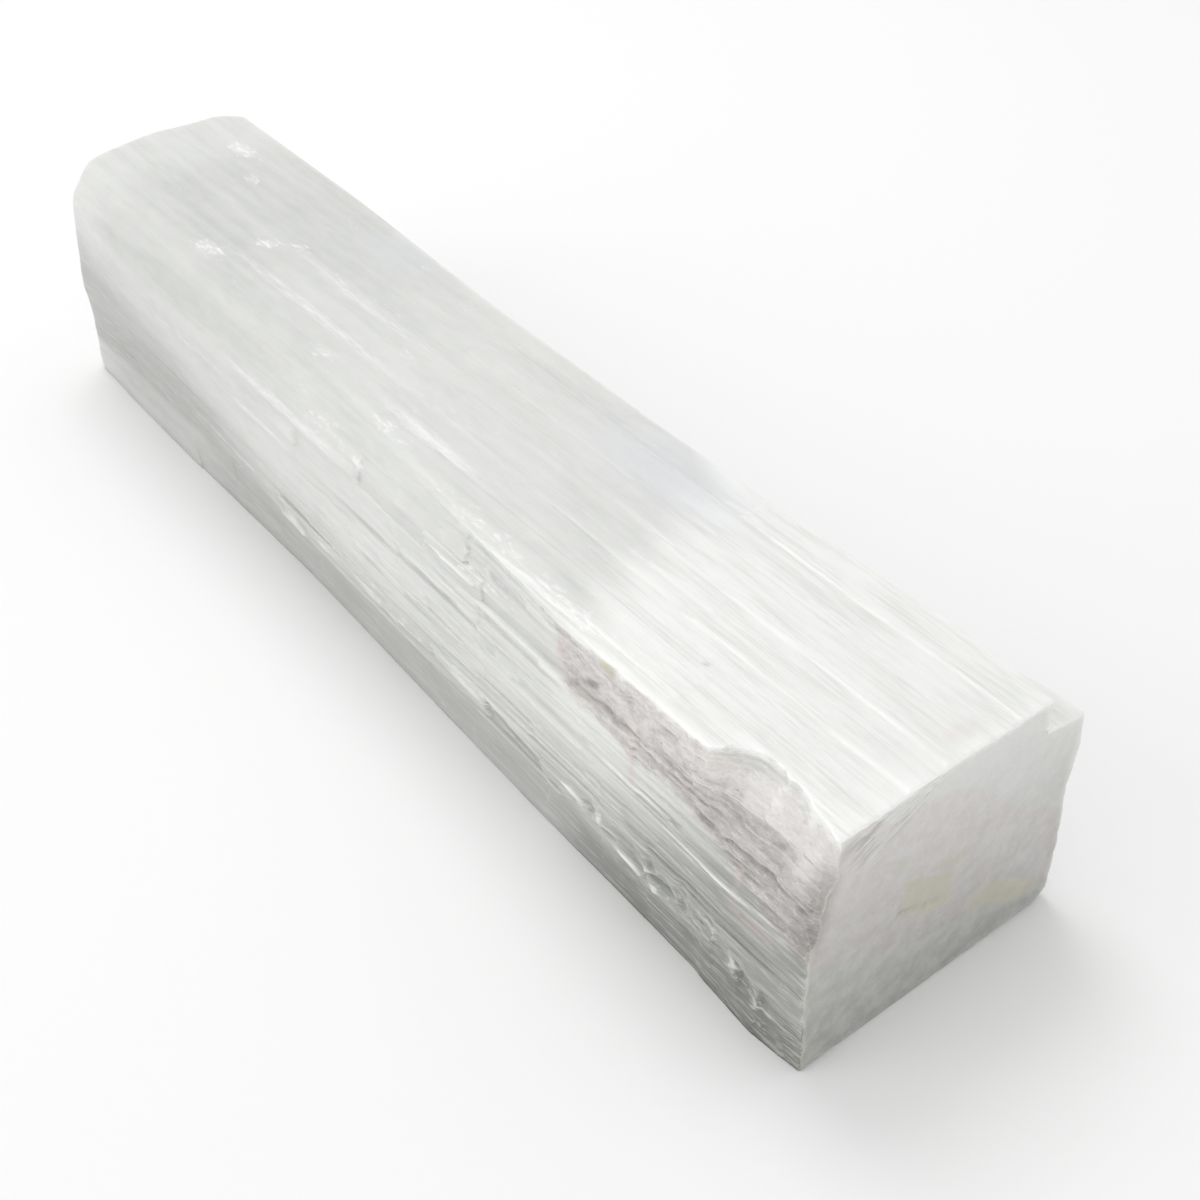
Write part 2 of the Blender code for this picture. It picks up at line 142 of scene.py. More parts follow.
RIGHT_STRIPS = (
    (36.2, EDGE_LEVEL, ((-100, 0.0), (-45, 0.15), (12, 0.0), (48, 0.15))),
    (34.0, 36.2, ((-100, 0.1), (-17, -0.1), (34, 0.05))),
    (30.6, 32.4, ((-100, 0.0), (-58, 0.25), (2, 0.0), (42, 0.3), (84, 0.0))),
    (27.9, 30.6, ((-100, 0.2), (-33, -0.1), (20, 0.2), (71, -0.2))),
    (26.2, 27.9, ((-100, 0.1), (-45, -0.2), (12, 0.3), (67, -0.2), (89, 0.1))),
    (22.4, 26.2, ((-100, -0.1), (-25, 0.2), (34, -0.2), (78, 0.0))),
    (20.1, 22.4, ((-100, 0.1), (-8, 0.3), (48, -0.1))),
    (16.0, 20.1, ((-100, 0.2), (-58, -0.1), (2, -0.2), (55, 0.3), (84, -0.1))),
    (13.7, 16.0, ((-100, 0.0), (-33, 0.3), (29, -0.1), (71, 0.2))),
    (9.2, 13.7, ((-100, 0.1), (-17, -0.1), (20, -0.3), (61, 0.1))),
    (6.3, 9.2, ((-100, 0.3), (-25, -0.1), (42, 0.3), (89, 0.0))),
    (FOOT_LEVEL, 6.3, ((-100, 0.0), (-45, 0.2), (29, -0.2), (61, 0.0))),
)
SOLE_STRIPS = (
    (SOLE_HALF, SOLE_RIGHT, ((-100, -0.3), (-33, -0.6), (20, -0.3), (67, -0.4))),
    (-SOLE_HALF, SOLE_HALF, ((-100, 0.0),)),
    (SOLE_LEFT, -SOLE_HALF, ((-100, -0.3), (-8, -0.2), (42, -0.4))),
)


def smooth(value: Array | float) -> Array:
    """Ease from 0 to 1 as value goes from 0 to 1."""
    value = np.clip(value, 0.0, 1.0)
    return value * value * (3.0 - 2.0 * value)


def rise(value: Array | float, start: float, run: float) -> Array:
    """Ease from 0 to 1 over a run that begins at start."""
    return smooth((value - start) / run)


def fall(value: Array | float, end: float, run: float) -> Array:
    """Ease from 1 to 0 over a run that ends at end."""
    return smooth((end - value) / run)


def limit(points: tuple[tuple[float, float], ...], places: Array) -> Array:
    """Read a limit line drawn through its points."""
    return np.interp(places, [place for place, _ in points], [value for _, value in points])


def lattice_noise(u: Array, v: Array, seed: int) -> Array:
    """Smooth random hills between -1 and 1, each one unit across.

    Args:
        u: First coordinate of each point, in hills.
        v: Second coordinate of each point, in hills.
        seed: Picks the pattern.

    Returns:
        The height at each point.
    """
    u, v = np.broadcast_arrays(u, v)
    table = np.random.default_rng(seed).uniform(-1.0, 1.0, (256, 256))
    column, row = np.floor(u).astype(int), np.floor(v).astype(int)
    across, along = smooth(u - column), smooth(v - row)

    def corner(right: int, up: int) -> Array:
        """The table's height at one corner of each point's cell."""
        return table[(column + right) % 256, (row + up) % 256]

    near = corner(0, 0) * (1.0 - across) + corner(1, 0) * across
    far = corner(0, 1) * (1.0 - across) + corner(1, 1) * across
    return near * (1.0 - along) + far * along


@dataclass(frozen=True)
class Hills:
    """One layer of smooth random hills: its height, its size each way, and its pattern."""

    height: float
    run: float
    rise: float
    seed: int

    def at(self, u: Array, v: Array) -> Array:
        """Height of the layer at each point, above and below nothing."""
        return self.height * lattice_noise(u / self.run, v / self.rise, self.seed)


def fan_place(y: Array, z: Array) -> tuple[Array, Array]:
    """Where points of the sawn end lie in its fan of cleavage lines.

    Args:
        y: Distances across.
        z: Heights.

    Returns:
        Degrees below level and the distance, both from where the lines meet.
    """
    across, down = FAN_MEETS[0] - y, FAN_MEETS[1] - z
    return np.degrees(np.arctan2(down, across)), np.hypot(across, down)


def soften_rows(heights: Array, reach: int) -> Array:
    """Average each row's heights with its neighbours', up to reach rows away.

    Args:
        heights: Heights, as rows of points.
        reach: How many rows away still count.

    Returns:
        The averaged heights.
    """
    padded = np.pad(heights, ((reach, reach), (0, 0)), mode="edge")
    weights = [math.exp(-2.0 * (step / reach) ** 2) for step in range(-reach, reach + 1)]
    total = sum(weight * padded[start:start + len(heights)] for start, weight in enumerate(weights))
    return total / sum(weights)


def soften_loop(values: Array, reach: int) -> Array:
    """Average each value round a closed loop with its neighbours', up to reach places away.

    Args:
        values: Values round the loop.
        reach: How many places away still count.

    Returns:
        The averaged values.
    """
    weights = {step: math.exp(-2.0 * (step / reach) ** 2) for step in range(-reach, reach + 1)}
    total = sum(weight * np.roll(values, step) for step, weight in weights.items())
    return total / sum(weights.values())


def squeeze(levels: Array, start: float, nominal_end: float, real_end: Array) -> Array:
    """Move levels past start so that nominal_end lands on real_end.

    Args:
        levels: Levels to move.
        start: Where the move begins.
        nominal_end: Level that lands on the real end.
        real_end: Where the real end is, at each station.

    Returns:
        The moved levels.
    """
    past = (levels - start) * (nominal_end - start) > 0.0
    moved = start + (levels - start) * (real_end - start) / (nominal_end - start)
    return np.where(past, moved, levels)


@dataclass(frozen=True)
class SideForm:
    """How far one side face stands out from the middle plane."""

    table: dict[float, tuple[float, ...]]
    bite: tuple[tuple[float, float], ...] = ((-120, -120), (120, 120))
    soften_along: float = 4.0
    soften_up: float = 0.0

    def plain_reach(self, levels: Array, stations: Array) -> Array:
        """Reach read from the table, with straight lines between its entries.

        Args:
            levels: Height of each point.
            stations: Station of each point.

        Returns:
            How far each point stands out.
        """
        heights = sorted(self.table)
        values = np.array([self.table[height] for height in heights])
        up = np.interp(levels, heights, np.arange(len(heights)))
        along = np.interp(limit(self.bite, stations), FORM_STATIONS, np.arange(len(FORM_STATIONS)))
        up, along = np.broadcast_arrays(up, along)
        low = np.minimum(up.astype(int), len(heights) - 2)
        back = np.minimum(along.astype(int), len(FORM_STATIONS) - 2)
        over_low, past_back = up - low, along - back
        lower = values[low, back] * (1.0 - past_back) + values[low, back + 1] * past_back
        upper = values[low + 1, back] * (1.0 - past_back) + values[low + 1, back + 1] * past_back
        return lower * (1.0 - over_low) + upper * over_low

    def reach(self, levels: Array, stations: Array) -> Array:
        """Reach with its kinks softened along the log and up the face.

        Args:
            levels: Height of each point.
            stations: Station of each point.

        Returns:
            How far each point stands out.
        """
        ups = (-self.soften_up, 0.0, self.soften_up) if self.soften_up else (0.0,)
        samples = [self.plain_reach(levels + up, stations + along)
                   for up in ups for along in (-self.soften_along, 0.0, self.soften_along)]
        return sum(samples) / len(samples)


@dataclass(frozen=True)
class Strip:
    """A strip of fibres between two seams, which steps up or down at each of its breaks."""

    low: float
    high: float
    breaks: Breaks
    taper: float = 0.55
    step_half: float = 0.18

    def proud(self, stations: Array) -> Array:
        """Height over the face: the strip slopes a little, then steps at a break.

        Args:
            stations: Stations along the strip.

        Returns:
            One height for each station.
        """
        places: list[float] = []
        heights: list[float] = []
        for (start, value), (end, following) in zip(self.breaks, self.breaks[1:]):
            places += [start + self.step_half, end - self.step_half]
            heights += [value, value + self.taper * (following - value)]
        places.append(self.breaks[-1][0] + self.step_half)
        heights.append(self.breaks[-1][1])
        return np.interp(stations, places, heights)


@dataclass(frozen=True)
class Bundles:
    """One size of fibre bundle: bundles lie side by side and end at uneven stations."""

    width: float
    run: float
    proud: float
    lean: float
    raggedness: float = 0.5
    step_half: float = 0.1
    first_place: float = -110.0
    last_place: float = 105.0

    def profile(self, stations: Array, rng: np.random.Generator) -> Array:
        """Height along one bundle, which thins towards each break and then steps.

        Args:
            stations: Stations along the bundle.
            rng: Seeded source of the bundle's breaks.

        Returns:
            One height for each station.
        """
        places, heights = [], []
        place = self.first_place
        while place < self.last_place:
            height = rng.uniform(-1.0, 1.0) * self.proud
            end = place + self.run * rng.uniform(0.4, 1.8)
            places += [place + self.step_half, end - self.step_half]
            heights += [height, height * rng.uniform(-0.2, 0.8)]
            place = end
        return np.interp(stations, places, heights)

    def relief(self, levels: Array, stations: Array, rng: np.random.Generator) -> Array:
        """Height of every bundle over its face.

        Args:
            levels: Level of each row of points.
            stations: Stations along each row.
            rng: Seeded source of the bundles' sizes.

        Returns:
            One height for each row and station.
        """
        heights = np.zeros((len(levels), len(stations)))
        edge, last = float(levels.min()), float(levels.max())
        while edge <= last:
            width = self.width * rng.uniform(0.5, 1.6)
            inside = np.flatnonzero((levels >= edge) & (levels < edge + width))
            lean = self.lean * rng.uniform(-1.0, 1.0)
            state = rng.integers(1 << 30)
            for row in inside:
                ragged = stations + self.raggedness * rng.uniform(-1.0, 1.0)
                across = (levels[row] - edge) / width - 0.5
                heights[row] = self.profile(ragged, np.random.default_rng(state)) + lean * across
            edge += width
        return heights


@dataclass(frozen=True)
class Splinter:
    """A sliver that stands out at its thick end, with a broken tip, and thins to nothing."""

    thick_end: float
    thin_end: float
    low: float
    high: float
    proud: float
    edge: float = 0.34
    raggedness: float = 0.9
    bluntness: float = 0.7

    def relief(self, levels: Array, stations: Array) -> Array:
        """Height of the sliver at each row and station.

        Args:
            levels: Level of each point on the face.
            stations: Station of each point.

        Returns:
            How far the sliver stands out at each point.
        """
        ragged = self.raggedness * lattice_noise(levels / 0.7, self.thick_end, 7)
        share = (stations + ragged - self.thin_end) / (self.thick_end - self.thin_end)
        along = np.where((share > 0.0) & (share < 1.0), np.clip(share, 0.0, 1.0) ** self.bluntness, 0.0)
        inside = np.minimum(levels - self.low, self.high - levels)
        return self.proud * along * smooth(inside / self.edge)


@dataclass(frozen=True)
class Scoop:
    """A shallow rounded chip out of the left face, deepest low down, with a raised lip under it."""

    station: float
    height: float
    half_run: float
    half_rise: float
    depth: float
    raggedness: float = 0.22
    lip: float = 0.45
    lip_reach: float = 1.3
    lip_width: float = 0.32

    def relief(self, levels: Array, stations: Array) -> Array:
        """How deep the chip is at each row and station, as a height below nothing.

        Args:
            levels: Level of each point on the face.
            stations: Station of each point.

        Returns:
            The height that the chip adds at each point, mostly below nothing.
        """
        along = (stations - self.station) / self.half_run
        up = (levels - self.height) / self.half_rise
        ragged = self.raggedness * lattice_noise(stations / 1.1, levels / 1.1, 95)
        reach = along ** 2 + up ** 2 - ragged
        ridge = np.exp(-((reach - self.lip_reach) / self.lip_width) ** 2)
        lip = self.lip * ridge * smooth(0.6 - 1.4 * up)
        return self.depth * (lip - smooth(1.0 - reach) * (1.0 - 0.35 * up))


@dataclass(frozen=True)
class Blot:
    """An oval mark on one face: middle, half sizes, turn in degrees, strength, and how soft its edge
    is. With corners above 2 it is squarer.
    """

    face: Face
    u: float
    v: float
    half_u: float
    half_v: float
    turn: float = 0.0
    strength: float = 1.0
    edge: float = 0.5
    corners: float = 2.0

    def cover(self, u: Array, v: Array) -> Array:
        """How strongly the mark shows at each point: full near its middle, none past its rim.

        Args:
            u: First coordinate of each point.
            v: Second coordinate of each point.

        Returns:
            Strength of the mark at each point.
        """
        angle = math.radians(self.turn)
        along = (u - self.u) * math.cos(angle) + (v - self.v) * math.sin(angle)
        across = (v - self.v) * math.cos(angle) - (u - self.u) * math.sin(angle)
        reach = (np.abs(along / self.half_u) ** self.corners
                 + np.abs(across / self.half_v) ** self.corners) ** (1.0 / self.corners)
        return self.strength * smooth((1.0 + self.edge - reach) / (2.0 * self.edge))


def ovals(face: Face, *rows: tuple[float, ...]) -> tuple[Blot, ...]:
    """Oval marks on one face, from rows of numbers in the order of Blot's fields."""
    return tuple(Blot(face, *row) for row in rows)


@dataclass(frozen=True)
class Patch:
    """A mark with straight sides on one face: its corners in order, its strength and soft edge."""

    face: Face
    corners: tuple[tuple[float, float], ...]
    strength: float = 1.0
    edge: float = 0.3

    def cover(self, u: Array, v: Array) -> Array:
        """How strongly the mark shows at each point: full well inside its sides, none outside.

        Args:
            u: First coordinate of each point.
            v: Second coordinate of each point.

        Returns:
            Strength of the mark at each point.
        """
        inside = np.full(np.shape(u), np.inf)
        for (u0, v0), (u1, v1) in zip(self.corners, self.corners[1:] + self.corners[:1]):
            side = ((u1 - u0) * (v - v0) - (v1 - v0) * (u - u0)) / math.hypot(u1 - u0, v1 - v0)
            inside = np.minimum(inside, side)
        return self.strength * smooth(0.5 + 0.5 * inside / self.edge)


@dataclass(frozen=True)
class Groove:
    """A fine groove or crack on the left face, between two places given as station and height."""

    start: tuple[float, float]
    end: tuple[float, float]
    width: float
    depth: float
    wander: float = 0.25
    taper: float = 6.0

    def relief(self, levels: Array, stations: Array) -> Array:
        """How deep the groove is cut at each row and station, as a height below nothing.

        Args:
            levels: Level of each point on the face.
            stations: Station of each point.

        Returns:
            The height that the groove adds at each point, never above nothing.
        """
        along, up = self.end[0] - self.start[0], self.end[1] - self.start[1]
        share = np.clip((stations - self.start[0]) / along, 0.0, 1.0)
        uneven = self.wander * lattice_noise(stations / 2.3, self.start[1], 91)
        middle = self.start[1] + up * share + uneven
        open_by = smooth(self.taper * share) * smooth(self.taper * (1.0 - share))
        return -self.depth * open_by * np.exp(-((levels - middle) / self.width) ** 2)


@dataclass(frozen=True)
class Row:
    """One line of points along the log: its level, its strip, and its share across the strip."""

    level: float
    strip: Strip | None = None
    share: float = 0.0


@dataclass
class LongFace:
    """One long face of the log, as rows of points that run from end to end."""

    face: Face
    strips: tuple[tuple[float, float, Breaks], ...]
    spacing: float
    bundles: tuple[Bundles, ...]
    downward: bool = False
    plain_levels: tuple[float, ...] = ()
    lip: float = 0.07
    wander: float = 0.25
    rows: list[Row] = field(default_factory=list)

    def __post_init__(self) -> None:
        """Lay out the rows from seam to seam."""
        self.rows = [Row(level) for level in self.plain_levels]
        for low, high, breaks in self.strips:
            strip = Strip(low, high, breaks)
            count = max(2, math.ceil((high - low) / self.spacing) + 1)
            for level in np.linspace(low + self.lip, high - self.lip, count):
                self.rows.append(Row(float(level), strip, (level - low) / (high - low)))
        self.rows.sort(key=lambda row: -row.level if self.downward else row.level)

    def levels(self, stations: Array) -> Array:
        """Level of every row at every station, as the seams wander sideways."""
        return np.array([row.level + self.row_wander(row, stations) for row in self.rows])

    def row_wander(self, row: Row, stations: Array) -> Array:
        """Sideways wander of one row, between the wanders of its two seams.

        Args:
            row: The row.
            stations: Stations along it.

        Returns:
            How far the row moves sideways at each station.
        """
        if row.strip is None:
            return np.zeros_like(stations)
        low = self.seam_wander(row.strip.low, stations)
        high = self.seam_wander(row.strip.high, stations)
        return (1.0 - row.share) * low + row.share * high

    def seam_wander(self, seam: float, stations: Array) -> Array:
        """Slow sideways wander of one seam; the log's own edges keep their place.

        Args:
            seam: Level of the seam.
            stations: Stations along it.

        Returns:
            How far the seam moves sideways at each station.
        """
        if seam in FIXED_SEAMS or self.face is Face.SOLE:
            return np.zeros_like(stations)
        slow = np.sin(stations / 19.0 + 1.7 * seam)
        quick = np.sin(stations / 7.0 + 4.1 * seam)
        return self.wander * (0.7 * slow + 0.3 * quick)

    def strip_heights(self, stations: Array) -> Array:
        """Height of each row's strip over the face."""
        return np.array([np.zeros_like(stations) if row.strip is None else row.strip.proud(stations)
                         for row in self.rows])

    def bundle_heights(self, stations: Array, seed: int) -> Array:
        """Height of the fibre bundles at each row and station.

        Args:
            stations: Stations along each row.
            seed: Picks the bundles.

        Returns:
            One height for each row and station.
        """
        rng = np.random.default_rng(seed)
        levels = np.array([row.level for row in self.rows])
        heights = np.zeros((len(levels), len(stations)))
        for layer in self.bundles:
            heights += layer.relief(levels, stations, rng)
        return heights


# Size of the rows' and stations' grid.
STATION_SPACING = ((-100.0, 1.9), (-40.0, 1.2), (26.0, 0.78))     # from each station on
BREAK_STATIONS = (-58, -45, -33, -25, -17, -8, 2, 12, 20, 29, 34, 42, 48, 55, 61, 67, 71, 78, 84, 89, 92, 96)
BREAK_HALF = 0.2          # a break's two rows of points lie this far each side of it
BREAK_CLEAR = 0.5         # no other station lies closer to a break than this
BROKEN_STATION_SHARES = (0.0, 0.03, 0.1, 0.2, 0.35, 0.55, 0.8)

SIDE_BUNDLES = (
    Bundles(width=2.1, run=36.0, proud=0.22, lean=0.22),
    Bundles(width=0.95, run=17.0, proud=0.17, lean=0.16),
    Bundles(width=0.45, run=8.0, proud=0.09, lean=0.0),
)
TOP_BUNDLES = (
    Bundles(width=3.2, run=50.0, proud=0.035, lean=0.035),
    Bundles(width=1.2, run=18.0, proud=0.03, lean=0.025),
    Bundles(width=0.8, run=8.0, proud=0.022, lean=0.0),
)
BACK_BUNDLES = (
    Bundles(width=3.6, run=60.0, proud=0.16, lean=0.34, raggedness=1.4),
    Bundles(width=1.9, run=22.0, proud=0.12, lean=0.2, raggedness=1.4),
    Bundles(width=0.9, run=10.0, proud=0.08, lean=0.1, raggedness=1.4),
)

# Slivers of the left face: thick end, thin end, low level, high level, how proud at the thick end.
SPLINTERS = tuple(Splinter(*row) for row in (
    (1.5, -38, 31.5, 33.7, 0.26), (2.6, -6, 33.5, 36, 0.2), (29, 12, 33.2, 36.8, 0.18),
    (-16.5, -30, 28.2, 31, 0.35), (32, 20, 31.8, 33, 0.35), (33, 15, 28, 29, 0.3),
    (15.5, 34, 26.4, 28, 0.4), (43, 35, 22.8, 24.2, 0.35), (75, 56, 22.7, 23.5, 0.3),
    (90, 74, 21.2, 22.4, 0.15), (57.5, 52, 11.2, 12.9, 0.5), (69.5, 62, 8.6, 9.9, 0.45),
    (73, 70.5, 8.6, 10.3, 0.5), (84.5, 80, 11.5, 13, 0.4), (88.8, 86, 7.5, 11, 0.45),
    (92.7, 91, 4.5, 8.6, 0.6), (34, 22, 10.6, 14.2, 0.35), (10.5, 6.5, 10.3, 12, 0.35),
    (-17, -24, 10.2, 12.6, 0.35), (71, 60, 14.4, 15.4, 0.3), (57.5, 52.5, 28.1, 29.4, 0.3),
    (-31, -34.5, 26, 27.3, 0.25), (-19, -23.5, 25.7, 27.2, 0.3),
))

# Random hills. The weathered patch has lumps, knobs and grit; the sawn end has waves and grit, and a
# slanting mottle; the broken end has bundles and single fibres.
PATCH_HILLS = (Hills(0.26, 2.9, 2.2, 51), Hills(0.18, 1.5, 1.1, 52), Hills(0.08, 0.8, 0.6, 53))
PATCH_HOLLOW = 0.15       # the patch lies this much lower than the fibres round it
SAWN_HILLS = (Hills(0.12, 6.0, 5.0, 71), Hills(0.02, 0.5, 0.5, 73))
SAWN_MOTTLE = Hills(0.05, 1.6, 1.1, 72)
BROKEN_HILLS = (Hills(0.5, 4.2, 3.6, 81), Hills(0.14, 2.1, 1.9, 82))

# Limits of the mauve weathered patch. Left face: height of its lower limit at each station. Top:
# how far across it bites. Sawn end: its lower and upper limit at each distance across.
STAIN_LOW = (
    (48, 43), (50.5, 36.5), (51.5, 32), (54.5, 29.4), (62, 28.8), (66, 27.8), (67.5, 27), (73.5, 28.2),
    (81, 26.8), (86, 25.2), (90, 23.6), (95, 21.5), (101, 19.5),
)
STAIN_BITE = (
    (48, -22), (52, -21), (62, -20.2), (80.6, -20), (81.4, -17), (86, -14.6), (93, -15.6), (97, -17.3),
    (101, -18.1),
)
STAIN_END_LOW = (
    (-22, 18.9), (-14.6, 15.6), (-7.2, 12), (-0.5, 8.9), (4, 8.6), (10, 7.4), (16, 5.6), (27, 0.5),
)
STAIN_END_HIGH = (
    (-22, 36), (-12, 36.5), (-4, 35.5), (2, 34), (8, 30.5), (12, 26), (16, 22), (21, 18.5), (27, 16),
)

FAR_INSIDE = 9.0          # distances inside or outside the patch go no further than this

# Glassy grey and painted shade at the foot of the sides: upper limit, fade and strength by station.
GLASS_AND_SHADE_TOP = (
    (-100, 37), (-60, 30), (-30, 22), (0, 21), (30, 21), (42, 22), (58, 32), (70, 35), (85, 39), (100, 39),
)
GLASS_AND_SHADE_FADE = ((-100, 16), (-60, 15), (-30, 17), (0, 16), (40, 15), (58, 23), (70, 24), (85, 22), (100, 22))
GLASS_AND_SHADE_STRENGTH = (
    (-100, 0.66), (-60, 0.5), (-30, 0.5), (30, 0.5), (45, 0.55), (60, 0.62), (75, 0.84), (100, 0.9),
)

# Yellow spots: two with straight sides, and oval ones.
YELLOW_BLOTS = (
    Patch(Face.SAWN, ((-4.7, 22.8), (-4.1, 15.3), (0.1, 14), (4.2, 11.6), (4.6, 18.6)), 0.9, 0.35),
    Patch(Face.SAWN, ((8.3, 10.8), (8.6, 8.6), (17, 4.4), (23.2, 2.2), (22, 5.8), (11.5, 11.6)), 0.85, 0.6),
    *ovals(Face.SAWN, (3.4, 21.2, 3.6, 1.2, -20, 0.45), (-5.8, 26.4, 1.3, 1.4, 0, 0.3)),
    *ovals(Face.LEFT, (61.6, 37.9, 1.3, 1.3, 30, 0.8), (59.2, 39.2, 1.2, 0.5, 0, 0.5)),
)

# Grooves and cracks of the left face: start, end, width and depth.
GROOVES = tuple(Groove(*row) for row in (
    ((63, 31.4), (83, 27.2), 0.4, 0.4), ((83, 27.3), (99.8, 26.8), 0.32, 0.5),
    ((75, 33.2), (90, 29.6), 0.3, 0.25), ((33, 10.6), (48.5, 11.4), 0.45, 0.5),
    ((14, 26), (29.5, 25.9), 0.35, 0.35), ((19, 21.7), (35, 21.8), 0.35, 0.3),
    ((70, 10), (86, 9), 0.3, 0.3), ((78, 16.8), (97, 17), 0.25, 0.2), ((-40, 17.2), (-8, 17), 0.4, 0.2),
    ((-20, 23.6), (12, 23.4), 0.35, 0.2),
))

# Chips along its foot: station, height, half run, half rise and depth.
SCOOPS = tuple(Scoop(*row) for row in (
    (55, 10.4, 2.2, 0.8, 0.3), (58.6, 12.2, 1.6, 1.8, 0.42), (66.3, 11.9, 4.4, 2, 0.42),
    (67.5, 7.4, 3.2, 0.9, 0.3), (71.2, 12.6, 1.4, 1.5, 0.36), (73.8, 11, 2.6, 1.8, 0.42),
    (77.8, 12.4, 1.5, 3.6, 0.36), (81.9, 11.2, 2.2, 1.7, 0.36), (85.9, 10.2, 2.3, 1.8, 0.4),
    (80, 7.2, 2.6, 0.9, 0.3), (89.6, 8.6, 1.5, 2.4, 0.42), (93.3, 7.6, 1.7, 2.2, 0.4),
    (95.2, 3.2, 1.9, 1.8, 0.45), (-24.5, 12, 3, 1.3, 0.3), (8, 11, 2.6, 1.2, 0.3),
))

# Oval marks: middle, half sizes, turn in degrees, strength and how soft the edge is.
# Dark marks: grime and cracks, and painted shade along the foot and by the worn corners at the sawn end.
GRIME_AND_SHADE_BLOTS = ovals(
    Face.LEFT,
    (77, 29.2, 5, 0.3, -12, 0.4, 0.6), (79, 30, 7, 1.5, -14, 0.26, 0.9),
    (88.5, 30.6, 5.5, 1.1, -8, 0.28, 0.9), (95, 28.6, 4, 1.2, -8, 0.25, 0.9),
    (99.3, 27, 1.8, 8, 0, 0.55, 0.7), (92, 27, 6, 0.3, -1, 0.5, 0.6), (61.5, 30.4, 6, 1.4, -6, 0.24, 0.9),
    (90, 0, 24, 6.5, 0, 0.4, 0.7), (-90, 8, 8, 9, 0, 0.1, 0.9), (10, 5.5, 46, 4.5, 0, 0.13, 0.8),
    (58, 32.5, 1.3, 0.6, 20, 1), (56.6, 31.8, 0.5, 0.35, 0, 0.7), (59.4, 33.6, 0.4, 0.3, 0, 0.5),
    (98.2, 26.6, 1.2, 0.4, 10, 1), (81.8, 27.6, 1.9, 0.45, 0, 0.7), (71, 29.9, 1.5, 0.35, 0, 0.6),
    (84.5, 19.8, 1.1, 0.5, 0, 0.6), (71.3, 11.8, 0.6, 0.5, 0, 0.6), (43, 10.4, 4.5, 0.35, 0, 0.5),
) + ovals(
    Face.TOP,
    (68.7, -10.6, 0.35, 0.25, 0, 0.6),
) + ovals(
    Face.SAWN,
    (-19.6, 29, 2, 7, -6, 0.62, 0.6), (-16.5, 35, 3.2, 1, 30, 0.3, 0.8),
)

GLINT_BLOTS = ovals(
    Face.TOP,
    (45, -18.3, 14, 0.7, 0, 0.8, 0.7), (22, -19, 12, 0.6, 0, 0.6, 0.7), (-48, -17.3, 34, 1, 0, 0.85, 0.9),
    (-30, -6.6, 40, 1.4, 0.5, 0.62, 0.9), (-32, 1.2, 26, 1.4, 0, 0.65, 0.9), (8, -11, 16, 1.3, 0, 0.8, 0.9),
    (66, 1, 34, 1.1, 0, 0.75, 0.8), (58, -4, 22, 0.9, 0, 0.7, 0.8), (70, -9, 26, 1.3, 0, 0.7, 0.8),
    (62, -13.2, 16, 1.1, 0, 0.65, 0.8), (75, 7, 22, 1.4, 0, 0.7, 0.8), (60, 13, 26, 1.2, 0, 0.65, 0.8),
) + ovals(
    Face.LEFT,
    (54.8, 12.3, 2.6, 0.9, 0, 0.8, 0.9), (60.7, 11.6, 0.6, 1.5, 0, 0.8, 0.8),
    (66.8, 9.3, 3.1, 0.5, 0, 0.8, 0.7), (72.6, 9.2, 2, 0.5, 0, 0.7, 0.7),
    (83.2, 12.4, 0.8, 0.8, 0, 0.6, 0.8), (88, 9.6, 1.2, 0.5, 0, 0.6, 0.8),
    (91.8, 6.9, 0.5, 1.5, 0, 0.7, 0.8), (94.6, 5.4, 1.1, 0.4, 10, 0.7, 0.8),
    (-21, 11.6, 3.4, 1.5, 10, 0.7, 0.9), (-17.4, 10.9, 1.4, 0.8, 0, 0.7, 0.8),
    (8.6, 11.3, 2.2, 0.9, 0, 0.7, 0.8), (72.6, 34.6, 2.6, 0.25, -8, 0.9), (75.5, 33, 2.2, 0.2, -8, 0.9),
    (70, 32.6, 1.6, 0.2, -8, 0.7), (86, 31, 4, 0.3, -14, 0.6), (93.5, 29, 4, 0.25, -6, 0.7),
    (92.5, 25.6, 3, 0.2, -4, 0.6), (-20, 32.8, 24, 1.3, 0, 0.72, 0.9), (8, 31, 20, 0.7, 0, 0.5, 0.8),
    (4, 12.6, 9, 0.6, 0, 0.6, 0.9), (-42, 12.8, 18, 0.7, 0, 0.6, 0.9), (-11, 12.2, 4, 0.7, 0, 0.7, 0.9),
    (28, 12.6, 6, 0.8, 0, 0.7, 0.9), (-28, 26.3, 14, 0.9, 0, 0.65, 0.9), (-8, 20, 22, 0.5, 0, 0.5, 0.9),
    (12, 16, 18, 0.5, 0, 0.5, 0.9), (72, 19.2, 14, 0.4, 0, 0.5, 0.9), (-50, 29, 30, 1.1, 0, 0.55, 0.9),
    (26, 32.5, 6, 0.35, 0, 0.9), (26, 28.5, 6, 0.35, 0, 0.8), (25, 26.3, 10, 0.5, 0, 0.7),
    (66, 23.1, 9, 0.3, 0, 0.9), (83, 21.6, 8, 0.3, 0, 0.9), (47, 15.5, 9, 0.4, 0, 0.7),
    (89, 17.1, 11, 0.25, 0, 0.6),
)
